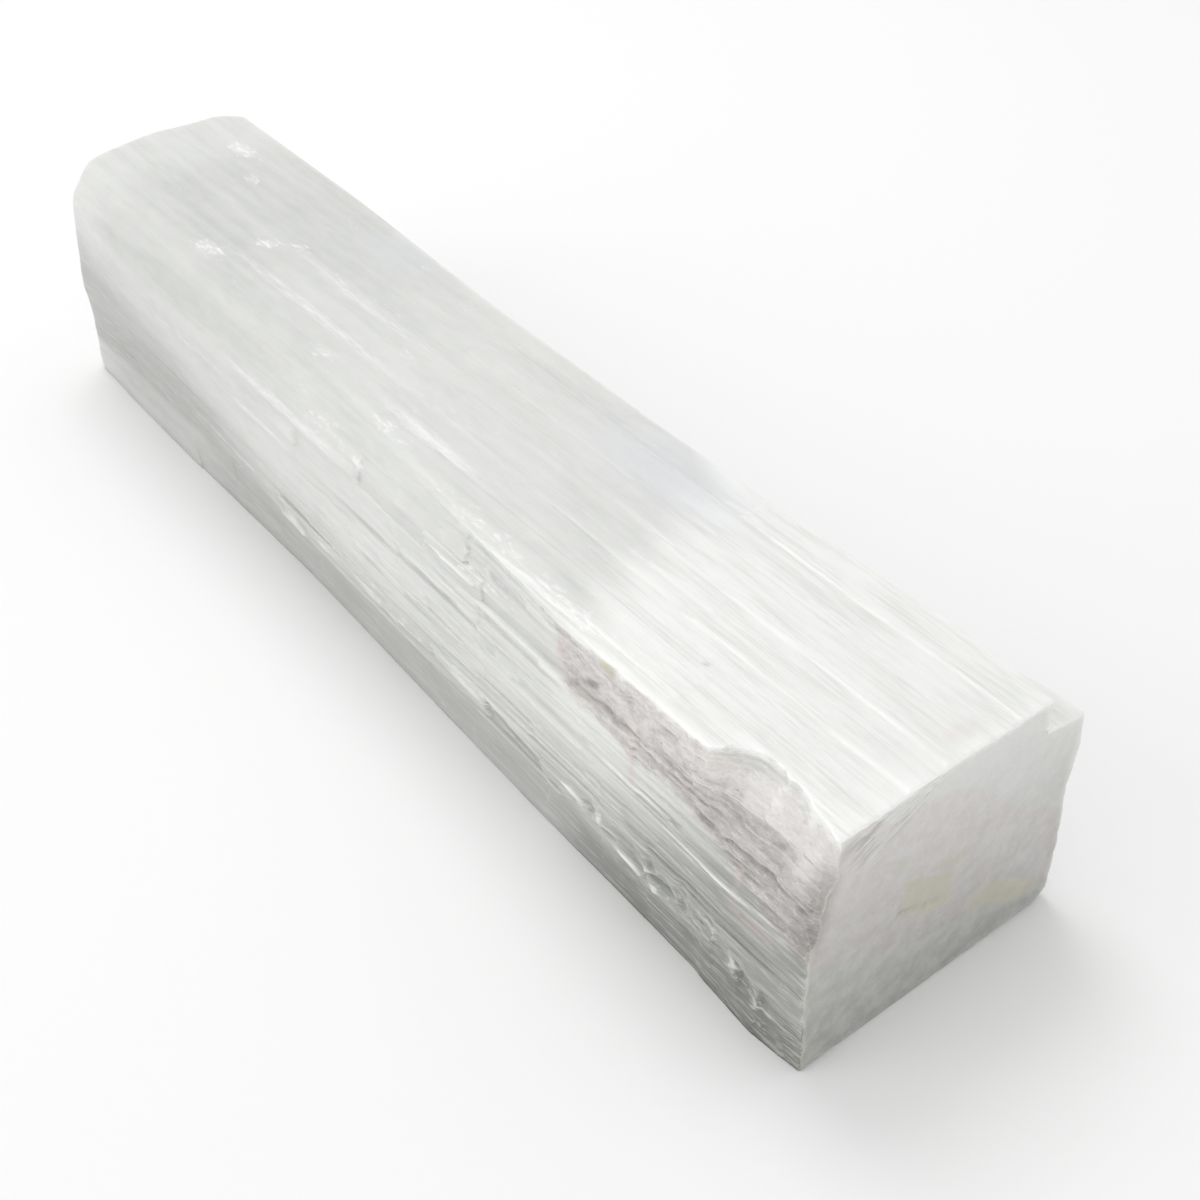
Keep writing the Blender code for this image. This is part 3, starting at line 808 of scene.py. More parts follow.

# White flecks and painted glints. On the left face under the bite they are painted light that lightens its
# shaded wall.
FLECK_AND_GLINT_BLOTS = ovals(
    Face.TOP,
    (-60, -9.8, 5.2, 2.4, 8, 1, 0.7), (-55.5, -1.6, 3, 2, 40, 1, 0.7), (-51, 2.3, 2.6, 1.6, 0, 0.9, 0.7),
    (-89, 12.3, 5.6, 2.4, 0, 1, 0.7), (-77.5, 8, 3, 1.8, 0, 0.9, 0.7), (-84, -4, 4, 2.4, 0, 0.55, 0.9),
    (-33, 15, 2.2, 1.2, 0, 0.8, 0.7), (-37.5, 2.5, 3, 1.6, 0, 0.7, 0.7), (-17, 13, 2.4, 1, 0, 0.8, 0.7),
    (-21, -11.5, 3, 1.6, 0, 0.9, 0.7), (-12, -2, 3, 1.4, 0, 0.8, 0.7), (3, -14, 9, 1.6, 0, 0.8, 0.8),
    (30, -16.5, 14, 1.8, 0, 0.8, 0.8), (52, -17.5, 12, 1.8, 0, 0.9, 0.8), (84, -11.5, 7, 2.4, 0, 0.7, 0.9),
) + ovals(
    Face.LEFT,
    (-9, 35, 8, 1.6, 0, 0.8, 0.8), (87, 35.4, 9, 2.4, -4, 0.76, 0.8), (97, 34, 3.5, 4, 0, 0.7, 0.8),
    (2, 34.5, 2.4, 1.6, 0, 0.9, 0.8), (32, 34, 10, 2.4, 0, 0.8, 0.8), (8, 13, 26, 2, 0, 0.6, 0.8),
)

# Painted sheen: a bluish tint where the highlight across the top fades.
SHEEN_EDGE_BLOTS = ovals(
    Face.TOP,
    (35, 11, 15, 6, 0, 0.7, 0.8), (-40, 14, 9, 4, 0, 0.6, 0.9), (15, -6, 14, 5, 0, 0.3, 0.9),
)

BLUSH_BLOTS = ovals(
    Face.TOP,
    (96, 5.5, 1.4, 2.6, 0, 0.3, 0.7),
) + ovals(
    Face.LEFT,
    (51.3, 33.5, 0.6, 2.6, 0, 0.5), (67, 26.5, 0.7, 3.4, 10, 0.45), (88, 23.5, 0.5, 2.2, 0, 0.5),
    (91, 19, 4, 1.2, 0, 0.4),
) + ovals(
    Face.SAWN,
    (-21, 21, 1, 3.2, 8, 0.8), (-12, 37, 1, 1.2, 0, 0.5),
)


@dataclass
class LogSurface:
    """Points of the log's surface, with the face and the fine relief of each."""

    points: Array
    faces: Array
    relief: Array

    def on(self, face: Face) -> Array:
        """Which points lie on a face."""
        return self.faces == face.value

    def place_on(self, face: Face) -> tuple[Array, Array]:
        """The two coordinates that marks on a face are given in.

        Args:
            face: The face that is marked.

        Returns:
            Both coordinates of every point of the log.
        """
        x, y, z = self.points.T
        if face in (Face.SAWN, Face.BROKEN):
            return y, z
        return (x, y) if face in (Face.TOP, Face.SOLE) else (x, z)

    def blots(self, blots: tuple[Blot | Patch, ...]) -> Array:
        """Cover of a set of blots at each point.

        Args:
            blots: The marks.

        Returns:
            The strongest cover at each point.
        """
        cover = np.zeros(len(self.points))
        for blot in blots:
            u, v = self.place_on(blot.face)
            cover = np.maximum(cover, np.where(self.on(blot.face), blot.cover(u, v), 0.0))
        return cover

    def stain(self) -> Array:
        """Distance of each point inside the mauve patch; outside it is negative.

        Returns:
            Distances in millimetres.
        """
        x, y, z = self.points.T
        tip = 0.3 * (x - 50.5)
        rim = limit(STAIN_BITE, x) - y - 0.35 * rise(x, 72.0, 8.0)
        bitten = rise(x, 76.0, 10.0)
        under_rim = (0.55 - 0.25 * bitten) * (38.3 - 1.2 * bitten - z)
        left = np.minimum.reduce([z - limit(STAIN_LOW, x), tip, under_rim, np.full_like(x, 3.0)])
        top = np.minimum(rim, tip)
        sawn = np.minimum(z - limit(STAIN_END_LOW, y), limit(STAIN_END_HIGH, y) - z)
        inside = np.full(len(x), -FAR_INSIDE)
        for face, distance in ((Face.LEFT, left), (Face.TOP, top), (Face.SAWN, sawn)):
            inside = np.where(self.on(face), distance, inside)
        return np.clip(inside, -FAR_INSIDE, FAR_INSIDE)

    def painted_sheen(self) -> Array:
        """Painted sheen: from the greyer far half to the whiter near half, as under a broad highlight.

        Returns:
            Share of painted sheen at each point.
        """
        x, y, z = self.points.T
        middle = 0.36 * rise(x, -70.0, 70.0) + 0.38 * fall(x, -80.0, 15.0)
        uneven = 5.0 * lattice_noise(y / 2.2, z / 2.2, 41)
        near = rise(x + 0.35 * y + uneven, 34.0, 18.0)
        back = 0.75 * rise(x + 2.0 * uneven, -15.0, 90.0)
        return np.maximum(middle, np.where(self.on(Face.RIGHT), back, near))

    def cleavage(self) -> Array:
        """Where fine cleavage lines fan out under the top edge of the sawn end.

        Returns:
            Strength of the lines at each point.
        """
        _, y, z = self.points.T
        angle, reach = fan_place(y, z)
        turned = rise(angle, 6.0, 4.0) * fall(angle, 34.0, 14.0)
        fan = turned * rise(reach, 1.0, 4.0) * fall(reach, 23.5, 5.0)
        return np.where(self.on(Face.SAWN), fan, 0.0)

    def glassiness_and_shade(self) -> Array:
        """Glassy grey and painted shade of the stone: most at the foot of the near half, none at the top.

        Returns:
            Share of glassy grey and painted shade at each point.
        """
        x, y, z = self.points.T
        top = limit(GLASS_AND_SHADE_TOP, x)
        sides = limit(GLASS_AND_SHADE_STRENGTH, x) * smooth((top - z) / limit(GLASS_AND_SHADE_FADE, x))
        uneven = 2.0 * lattice_noise(z / 1.4, 0.0 * z, 42)
        strip = 0.6 * fall(x - uneven, -44.0, 17.0) * fall(z, 8.5, 2.5)
        milky_end = 0.5 * fall(x, -97.0, 5.0)
        shelf = np.where(self.on(Face.RIGHT), rise(z, 31.6, 0.8), 0.0)
        # Painted shade: a darker band along the foot of the near half.
        sides = sides * (1.0 - shelf) + 0.4 * fall(z, 9.5, 5.0) * rise(x, 45.0, 15.0)
        # Painted shade: the sawn end is darker towards its bottom.
        ends = np.clip((37.0 - z - 0.12 * y) / 33.0, 0.0, 1.0)
        sides = sides * (1.0 - strip) * np.where(self.on(Face.RIGHT), 0.6, 1.0) * (1.0 - milky_end)
        return np.where(self.on(Face.SAWN), ends, np.where(self.on(Face.TOP), 0.0, sides))


@dataclass
class SeleniteLog:
    """The log's sizes, and the points and faces of its dressed surface."""

    half_run: float = 100.0
    top_height: float = 38.9
    top_fall: float = 0.0045
    top_crown: float = 0.3
    top_wear: float = 0.2
    edge_drop: float = 0.3
    left_closing: float = 28.0      # levels over these two close up where the top edge is low
    right_closing: float = 34.5
    top_middle: float = 12.0        # levels on the top further out than this follow its edges
    foot_round: float = 1.5
    fresh_round: float = 0.3
    shoulder_round: float = 4.0
    shoulder_end: float = 34.0
    shoulder_run: float = 40.0
    worn_end: float = 42.0
    oldest_end: float = 0.0
    worn_run: float = 60.0
    newer_below: float = 45.0       # the left face's low levels wear as if this much nearer the cut
    left_smoothing: int = 4         # rows over which the worn fibres even out
    top_smoothing: int = 3
    middle_y: float = 1.5
    corner_drop: float = 0.4
    corner_start: float = 84.0
    corner_run: float = 17.0
    corner_y: float = -4.0
    corner_span: float = 12.0
    sawn_x: float = 99.4
    sawn_skew: float = -0.045
    sawn_chamfer: float = 0.25
    corner_chip: float = 1.1
    rim_chips: float = 0.28
    broken_x: float = -106.4
    broken_round: float = 2.6
    broken_bulge: float = 0.3
    broken_raise: float = 0.3
    left_bow: float = 0.012
    left_bow_y: float = 6.0
    right_bow: float = 0.1
    right_bow_y: float = 14.0
    skew_run: float = 55.0
    jag: float = 0.7
    jag_reach: float = 1.7
    sawn_rings: int = 34
    sawn_first_ring: float = 0.988      # share of the way out from the middle
    sawn_flat_by: float = 0.05          # share of the way in by which the relief is full
    broken_rings: int = 22
    broken_first_ring: float = 0.96
    broken_flat_by: float = 0.2
    rim_even_by: float = 0.07
    rim_soften: int = 7
    seed: int = 23
    left_form: SideForm = field(default_factory=lambda: SideForm(LEFT_FORM, BITE_STATIONS, 0.8, 1.0))
    right_form: SideForm = field(default_factory=lambda: SideForm(RIGHT_FORM))

    def long_faces(self) -> tuple[LongFace, ...]:
        """The four long faces, in order round the log.

        Returns:
            The left face, the top, the right face and the sole.
        """
        shelf = tuple(float(level) for level in np.linspace(SHELF_INNER, SHELF_OUTER, 8))
        return (
            LongFace(Face.LEFT, LEFT_STRIPS, 0.25, SIDE_BUNDLES, plain_levels=(0.0,), wander=0.3),
            LongFace(Face.TOP, TOP_STRIPS, 0.42, TOP_BUNDLES, lip=0.1),
            LongFace(Face.RIGHT, RIGHT_STRIPS, 0.8, BACK_BUNDLES, True, shelf, wander=0.6),
            LongFace(Face.SOLE, SOLE_STRIPS, 2.0, (), True),
        )

    def stations(self) -> Array:
        """Stations of the points along the log, close together where the detail is finer.

        Returns:
            The stations, from the broken end to the sawn end.
        """
        end = self.half_run
        breaks = [start + side * BREAK_HALF for start in BREAK_STATIONS for side in (-1, 1)]
        plain: list[float] = []
        limits = [start for start, _ in STATION_SPACING[1:]] + [end - self.sawn_chamfer - 0.3]
        first = -end + self.broken_round
        for (_, spacing), last in zip(STATION_SPACING, limits):
            plain += list(np.arange(first, last, spacing))
            first = last
        clear = [s for s in plain if min(abs(s - b) for b in BREAK_STATIONS) > BREAK_CLEAR]
        rounded = [-end + self.broken_round * share for share in BROKEN_STATION_SHARES]
        sawn = [end - self.sawn_chamfer, end]
        return np.array(sorted(rounded + clear + breaks + sawn))

    def top_surface(self, y: Array, stations: Array) -> Array:
        """Height of the top face, with its worn corner.

        Args:
            y: Distances across.
            stations: Station of each point.

        Returns:
            Height of each point.
        """
        crown = self.top_crown * (1.0 - (y / TOP_RIGHT) ** 2)
        along = rise(stations, self.corner_start, self.corner_run)
        across = fall(y, self.corner_y, self.corner_span)
        plain = self.top_height - self.top_fall * stations - self.top_wear
        return plain + crown - self.corner_drop * along * across

    def section(self, face: Face, levels: Array, stations: Array, proud: Array) -> tuple[Array, Array]:
        """Place points of one long face on the cross-section.

        Args:
            face: The face they are on.
            levels: Their levels on it.
            stations: Their stations.
            proud: How far they stand out of the face.

        Returns:
            Their distances across and their heights.
        """
        left_edge = self.left_edge(stations)
        right_edge = self.right_form.reach(np.full_like(levels, EDGE_LEVEL), stations)
        if face is Face.LEFT:
            fresh = rise(stations, self.shoulder_end - self.shoulder_run, self.shoulder_run)
            edge_height = self.top_surface(left_edge, stations) - self.edge_drop * fresh
            z = squeeze(levels, self.left_closing, EDGE_LEVEL, edge_height)
            chipped = self.rim_wander(stations) * rise(levels, 33.0, 5.0)
            y = chipped - self.left_form.reach(levels, stations)
            return self.round_shoulder(y, z, edge_height - z, -1.0, stations, proud)
        if face is Face.RIGHT:
            edge_height = self.top_surface(right_edge, stations) - self.edge_drop
            z = squeeze(levels, self.right_closing, EDGE_LEVEL, edge_height)
            return self.right_form.reach(levels, stations) + proud, z
        if face is Face.TOP:
            y = squeeze(levels, -self.top_middle, TOP_LEFT, left_edge)
            y = squeeze(y, self.top_middle, TOP_RIGHT, right_edge)
            z = self.top_surface(y, stations)
            return self.round_shoulder(y, z, y - left_edge, 1.0, stations, proud)
        left_foot = self.foot_round / 2.0 - self.left_form.reach(np.zeros_like(levels), stations)
        right_foot = self.right_form.reach(np.full_like(levels, FOOT_LEVEL), stations) - self.foot_round
        y = squeeze(levels, SOLE_HALF, SOLE_RIGHT, right_foot)
        return squeeze(y, -SOLE_HALF, SOLE_LEFT, left_foot), -proud

    def rim_wander(self, stations: Array) -> Array:
        """How far small chips move the fresh long edge inwards and outwards.

        Args:
            stations: Stations along the edge.

        Returns:
            How far the edge moves inwards at each station.
        """
        coarse = lattice_noise(stations / 1.9, 0.0 * stations, 55)
        fine = lattice_noise(stations / 0.9, 0.0 * stations, 56)
        fresh = 0.35 * rise(stations, 10.0, 20.0) + 0.65 * rise(stations, 70.0, 12.0)
        return self.rim_chips * fresh * (0.6 * coarse + 0.7 * fine)

    def left_edge(self, stations: Array) -> Array:
        """Distance across of the long edge between the left face and the top."""
        levels = np.full_like(stations, EDGE_LEVEL)
        return self.rim_wander(stations) - self.left_form.reach(levels, stations)

    def round_shoulder(self, y: Array, z: Array, past_edge: Array, side: float, stations: Array,
                       proud: Array) -> tuple[Array, Array]:
        """Round the long edge between the left face and the top, most where the log is worn.

        Args:
            y: Distances across of points on one of the two faces.
            z: Their heights.
            past_edge: How far each point lies from the edge, along its face.
            side: 1 for the top and -1 for the left face.
            stations: Their stations.
            proud: How far they stand out of the face.

        Returns:
            Their rounded distances across and heights.
        """
        worn = fall(stations, self.shoulder_end, self.shoulder_run)
        radius = self.shoulder_round * worn + self.fresh_round
        share = np.clip(past_edge / radius, 0.0, 1.0)
        angle = (1.0 + side * share) * math.pi / 4.0
        on_round = share < 1.0
        moved_y = y + radius * (1.0 - np.cos(angle))
        moved_z = z - radius + radius * np.sin(angle)
        if side > 0.0:
            moved_y = moved_y - past_edge.clip(0.0) + (past_edge - radius).clip(0.0)
            out_y, out_z = np.where(on_round, -np.cos(angle), 0.0), np.where(on_round, np.sin(angle), 1.0)
        else:
            moved_z = moved_z + radius * share
            out_y, out_z = np.where(on_round, -np.cos(angle), -1.0), np.where(on_round, np.sin(angle), 0.0)
        return moved_y + out_y * proud, moved_z + out_z * proud

    def roughness(self, face: Face, levels: Array, stations: Array) -> Array:
        """How splintery a face is: the far half is worn smooth, the near half is fresh.

        Args:
            face: The face.
            levels: Level of each point on the face.
            stations: Station of each point.

        Returns:
            Share of the fibres' full height that each point has.
        """
        if face is Face.LEFT:
            near = 0.3 + 0.9 * rise(stations - 35.0 * rise(levels, 22.0, 8.0), -40.0, 50.0)
            foot = 0.35 + 0.65 * rise(levels, 6.0, 5.0)
            shoulder = 1.0 - 0.6 * rise(levels, 30.0, 6.0) * fall(stations, 20.0, 30.0)
            corner = 1.0 - 0.45 * rise(levels, 29.0, 4.0) * rise(stations, 50.0, 10.0)
            return near * foot * shoulder * corner
        if face is Face.TOP:
            return 0.6 + 0.35 * rise(stations, 20.0, 40.0)
        return np.ones_like(levels)

    def weathering(self, levels: Array, stations: Array) -> Array:
        """Lumps, pits and hollows of the weathered patch on the left face.

        Args:
            levels: Level of each point on the face.
            stations: Station of each point.

        Returns:
            Height of the weathering at each point.
        """
        over_limit = levels - limit(STAIN_LOW, stations)
        inside = rise(over_limit, -0.6, 2.4) * fall(levels, 38.6, 3.0)
        return inside * (sum(layer.at(stations, levels) for layer in PATCH_HILLS) - PATCH_HOLLOW)

    def face_relief(self, long_face: LongFace, levels: Array, stations: Array) -> Array:
        """Fine relief of a long face, over its form and its strips.

        Args:
            long_face: The face.
            levels: Level of each point on the face.
            stations: Stations along each row.

        Returns:
            Height of the fine relief at each point.
        """
        grid = np.broadcast_to(stations, levels.shape)
        heights = long_face.bundle_heights(stations, self.seed + long_face.face.value)
        heights = heights * self.roughness(long_face.face, levels, grid)
        if long_face.face is Face.LEFT:
            heights = heights + self.weathering(levels, grid)
            for mark in SPLINTERS + GROOVES + SCOOPS:
                heights = heights + mark.relief(levels, grid)
        return heights

    def end_inset(self, face: Face, levels: Array, stations: Array) -> Array:
        """How far the section shrinks towards its middle close to an end.

        Args:
            face: The long face.
            levels: Levels of its points.
            stations: Their stations.

        Returns:
            The distance each point moves inwards.
        """
        chipped = 0.0
        if face is Face.LEFT:
            knocks = 0.8 + 0.25 * lattice_noise(levels / 1.6, levels * 0.0, 62)
            chipped = self.corner_chip * knocks * rise(levels, 20.0, 5.0) * fall(levels, 36.5, 4.0)
        from_broken = np.clip(stations + self.half_run, 0.0, self.broken_round)
        depth = self.broken_round - from_broken
        rounded = self.broken_round - np.sqrt(self.broken_round ** 2 - depth ** 2)
        chips = 0.5 + 0.5 * lattice_noise(levels / 1.3, stations * 0.0, 61)
        extent = self.sawn_chamfer * (0.4 + 1.2 * chips ** 2) + chipped
        return rounded + np.clip(extent - (self.half_run - stations), 0.0, None)

    def end_shift(self, stations: Array, y: Array) -> Array:
        """How far points move along the log, so that the ends get their slant and bow.

        Args:
            stations: Station of each point.
            y: Distance across of each point.

        Returns:
            How far each point moves.
        """
        sawn = self.sawn_x + self.sawn_skew * y - self.half_run
        left_bow = self.left_bow * np.maximum(0.0, self.left_bow_y - y) ** 2
        right_bow = self.right_bow * np.maximum(0.0, y - self.right_bow_y) ** 2
        broken = self.broken_x + left_bow + right_bow + self.half_run
        near = rise(stations, self.half_run - self.skew_run, self.skew_run)
        far = fall(stations, self.skew_run - self.half_run, self.skew_run)
        return near * sawn + far * broken

    def break_shift(self, face: Face, levels: Array, stations: Array) -> Array:
        """Uneven shift along the log that makes the strips' broken ends jagged.

        Args:
            face: The face.
            levels: Level of each point on the face.
            stations: Station of each point.

        Returns:
            How far each point moves.
        """
        shift = np.zeros_like(levels)
        spread = 1.8 if face is Face.RIGHT else 1.0
        for number, start in enumerate(BREAK_STATIONS):
            near = np.clip(1.0 - np.abs(stations - start) / (spread * self.jag_reach), 0.0, None)
            seed = 100 + 30 * face.value + number
            coarse = lattice_noise(levels / 1.1, 0.0 * levels, seed)
            fine = lattice_noise(levels / 0.4, 0.0 * levels + 5.0, seed)
            shift += spread * self.jag * near * (0.7 * coarse + 0.3 * fine)
        return shift

    def face_points(self, long_face: LongFace, stations: Array) -> tuple[Array, Array]:
        """Points of one long face, and their fine relief, as grids of rows by stations.

        Args:
            long_face: The face.
            stations: Stations along each row.

        Returns:
            The points, and the height of their fine relief.
        """
        levels = long_face.levels(stations)
        grid = np.broadcast_to(stations, levels.shape)
        relief = self.face_relief(long_face, levels, stations)
        proud = long_face.strip_heights(stations) + relief
        if long_face.face is Face.TOP:
            relief = self.kept_parallel(levels, stations, relief)
            proud = self.kept_parallel(levels, stations, proud)
        if long_face.face in (Face.LEFT, Face.TOP):
            kept = self.kept_at_shoulder(long_face, levels, stations)
            proud = self.wear(long_face, levels, stations, proud) * kept
            relief = relief * kept
        if long_face.face is Face.RIGHT:
            proud = proud * (1.0 - 0.75 * rise(stations, 76.0, 20.0))
        y, z = self.section(long_face.face, levels, grid, proud)
        inset = self.end_inset(long_face.face, levels, grid)
        middle_z = self.top_height / 2.0
        keep = 1.0 - inset / np.maximum(np.abs(y - self.middle_y), np.abs(z - middle_z))
        y = self.middle_y + (y - self.middle_y) * keep
        z = z + inset if long_face.face is Face.SOLE else middle_z + (z - middle_z) * keep
        x = grid + self.break_shift(long_face.face, levels, grid) + self.end_shift(grid, y)
        return np.stack([x, y, z], axis=-1), relief

    def kept_at_shoulder(self, long_face: LongFace, levels: Array, stations: Array) -> Array:
        """Share of the fibres' relief that is left beside the worn shoulder of the log.

        Args:
            long_face: The left face or the top.
            levels: Level of each point on the face.
            stations: Stations along each row.

        Returns:
            The share that is left at each point.
        """
        edge = EDGE_LEVEL if long_face.face is Face.LEFT else TOP_LEFT
        worn = fall(stations, self.worn_end, self.worn_run)
        return 1.0 - worn * fall(np.abs(levels - edge), self.shoulder_round, self.shoulder_round)

    def wear(self, long_face: LongFace, levels: Array, stations: Array, proud: Array) -> Array:
        """Wear down how far the fibres stand out: most on the far half and along its shoulder.

        Args:
            long_face: The left face or the top.
            levels: Levels of its points.
            stations: Stations along each row.
            proud: How far the fresh fibres stand out.

        Returns:
            How far the worn fibres stand out.
        """
        left = long_face.face is Face.LEFT
        newer = stations + (self.newer_below * fall(levels, 22.0, 8.0) if left else 0.0)
        worn = fall(newer, self.worn_end, self.worn_run)
        oldest = fall(newer, self.oldest_end, self.worn_run)
        if left:
            oldest = np.maximum(oldest, fall(levels, 8.5, 2.5))
        reach = self.left_smoothing if left else self.top_smoothing
        proud = proud + worn * (soften_rows(proud, reach) - proud)
        proud = proud + oldest * (soften_rows(proud, 2 * reach) - proud)
        if left:
            proud = proud * (1.0 - 0.6 * (rise(stations, 90.0, 8.0) + fall(stations, -84.0, 10.0)))
        return proud

    def kept_parallel(self, levels: Array, stations: Array, proud: Array) -> Array:
        """Lay the top's fibres parallel to its length, where its rows close up beside the bite.

        Args:
            levels: Level of each point on the face.
            stations: Stations along each row.
            proud: Heights laid out by level.

        Returns:
            Heights laid out by distance from the log's middle.
        """
        parallel = np.empty_like(proud)
        for column, edge in enumerate(self.left_edge(stations)):
            across = squeeze(levels[:, column], -self.top_middle, TOP_LEFT, edge)
            parallel[:, column] = np.interp(across, levels[:, column], proud[:, column])
        return parallel

    def sawn_relief(self, y: Array, z: Array) -> Array:
        """How far points of the sawn end lie inside its plane.

        Args:
            y: Distances across.
            z: Heights.

        Returns:
            Depth of each point.
        """
        angle, reach = fan_place(y, z)
        fan = fall(angle, 30.0, 12.0) * rise(reach, 4.0, 4.0) * fall(reach, 22.0, 5.0)
        cleavage = 0.09 * fan * (1.0 + np.sin(1.1 * angle + 1.5 * np.sin(0.5 * y)))
        ledge_line = 15.2 - 0.35 * y
        ledge = 0.3 * rise(z, ledge_line, 0.25) * fall(z, ledge_line + 8.0, 7.0)
        ledge = ledge * rise(y, -5.4, 0.4) * fall(y, 6.0, 5.0)
        corner = 0.7 * fall(y, -15.5, 3.0) * rise(z, 22.5, 4.0) * fall(z, 35.0, 4.0)
        hills = sum(layer.height + layer.at(y, z) for layer in SAWN_HILLS)
        mottle = SAWN_MOTTLE.height + SAWN_MOTTLE.at(y - z, y + z)
        return cleavage + ledge + corner + hills + mottle

    def broken_relief(self, y: Array, z: Array) -> Array:
        """How far fibre ends lie inside the dome of the broken end.

        Args:
            y: Distances across.
            z: Heights.

        Returns:
            Depth of each point.
        """
        hills = sum(layer.height + layer.at(y, z) for layer in BROKEN_HILLS)
        slant = 0.9 * y + 0.35 * z + lattice_noise(y / 4.0, z / 4.0, 83)
        return hills + 0.35 * rise(np.sin(slant), 0.2, 0.25)

    def pillow(self, y: Array, z: Array) -> Array:
        """Share of the broken end's bulge at each point: none at its sides, all in its middle.

        Args:
            y: Distances across.
            z: Heights.

        Returns:
            Share of the bulge at each point.
        """
        across = (y - self.middle_y) / TOP_RIGHT
        up = (2.0 * z - self.top_height) / self.top_height
        return np.clip(1.0 - across ** 2, 0.0, None) * np.clip(1.0 - up ** 2, 0.0, None)

    def cap(self, rim: Array, face: Face) -> tuple[Array, Array]:
        """Rings of points from a rim inwards, and the middle point.

        Args:
            rim: Points round the end.
            face: Which end it is.

        Returns:
            The rings, outermost first, and the middle point.
        """
        count, first = self.sawn_rings, self.sawn_first_ring
        if face is Face.BROKEN:
            count, first = self.broken_rings, self.broken_first_ring
        middle_z = self.top_height / 2.0
        shares = np.append(np.linspace(first, 1.0 / count, count), 0.0)[:, None]
        across, up = rim[:, 1] - self.middle_y, rim[:, 2] - middle_z
        even = fall(shares, 1.0, self.rim_even_by)
        across = across + even * (soften_loop(across, self.rim_soften) - across)
        up = up + even * (soften_loop(up, self.rim_soften) - up)
        y = self.middle_y + across * shares
        z = middle_z + up * shares
        if face is Face.SAWN:
            hollow = fall(shares, 1.0, self.sawn_flat_by) * self.sawn_relief(y, z)
            x = self.sawn_x + self.sawn_skew * y - hollow
        else:
            flat = self.end_shift(np.full_like(y, -self.half_run), y) - self.half_run
            hollow = fall(shares, 1.0, self.broken_flat_by) * (self.broken_relief(y, z) - self.broken_raise)
            x = flat - self.broken_bulge * self.pillow(y, z) + hollow
        rings = np.stack([x, y, z], axis=-1)
        return rings[:-1], rings[-1, 0]

    def surface_and_quads(self) -> tuple[LogSurface, list[Array]]:
        """All points of the log, and its faces as arrays of point numbers.

        Returns:
            The surface, then the faces: first the four long faces, then each end.
        """
        stations, long_faces = self.stations(), self.long_faces()
        grids = [self.face_points(long_face, stations) for long_face in long_faces]
        points = [grid.reshape(-1, 3) for grid, _ in grids]
        relief = [heights.ravel() for _, heights in grids]
        faces = [np.full(len(heights), side.face.value) for side, heights in zip(long_faces, relief)]
        body = np.concatenate(points)
        numbers = np.arange(len(body)).reshape(-1, len(stations))
        following = np.roll(numbers, -1, axis=0)
        sides = np.stack([numbers[:, :-1], numbers[:, 1:], following[:, 1:], following[:, :-1]], axis=-1)
        polygons = [sides.reshape(-1, 4)]
        first = len(body)
        for face, rim in ((Face.SAWN, numbers[:, -1]), (Face.BROKEN, numbers[:, 0])):
            rings, middle = self.cap(body[rim], face)
            ring_numbers = first + np.arange(rings[..., 0].size).reshape(rings.shape[:2])
            middle_number = first + ring_numbers.size
            polygons += self.cap_polygons(rim, ring_numbers, middle_number, face)
            points += [rings.reshape(-1, 3), middle[None]]
            relief.append(np.zeros(ring_numbers.size + 1))
            faces.append(np.full(ring_numbers.size + 1, face.value))
            first = middle_number + 1
        return LogSurface(np.concatenate(points), np.concatenate(faces), np.concatenate(relief)), polygons

    @staticmethod
    def cap_polygons(rim: Array, rings: Array, middle: int, face: Face) -> list[Array]:
        """Quads between the rings of an end, and triangles round its middle, facing out.

        Args:
            rim: Numbers of the points round the end.
            rings: Numbers of the points of each ring, outermost first.
            middle: Number of the middle point.
            face: Which end it is.

        Returns:
            The quads, and the triangles.
        """
        loops = np.vstack([rim[None], rings])
        outer, inner = loops[:-1], loops[1:]
        outer_next, inner_next = np.roll(outer, -1, axis=1), np.roll(inner, -1, axis=1)
        quads = np.stack([outer, inner, inner_next, outer_next], axis=-1).reshape(-1, 4)
        last, last_next = rings[-1], np.roll(rings[-1], -1)
        fan = np.stack([last, np.full_like(last, middle), last_next], axis=-1)
        if face is Face.BROKEN:
            quads, fan = quads[:, ::-1], fan[:, ::-1]
        return [quads, fan]


FULL = 1.0                # a tint that is laid at full strength


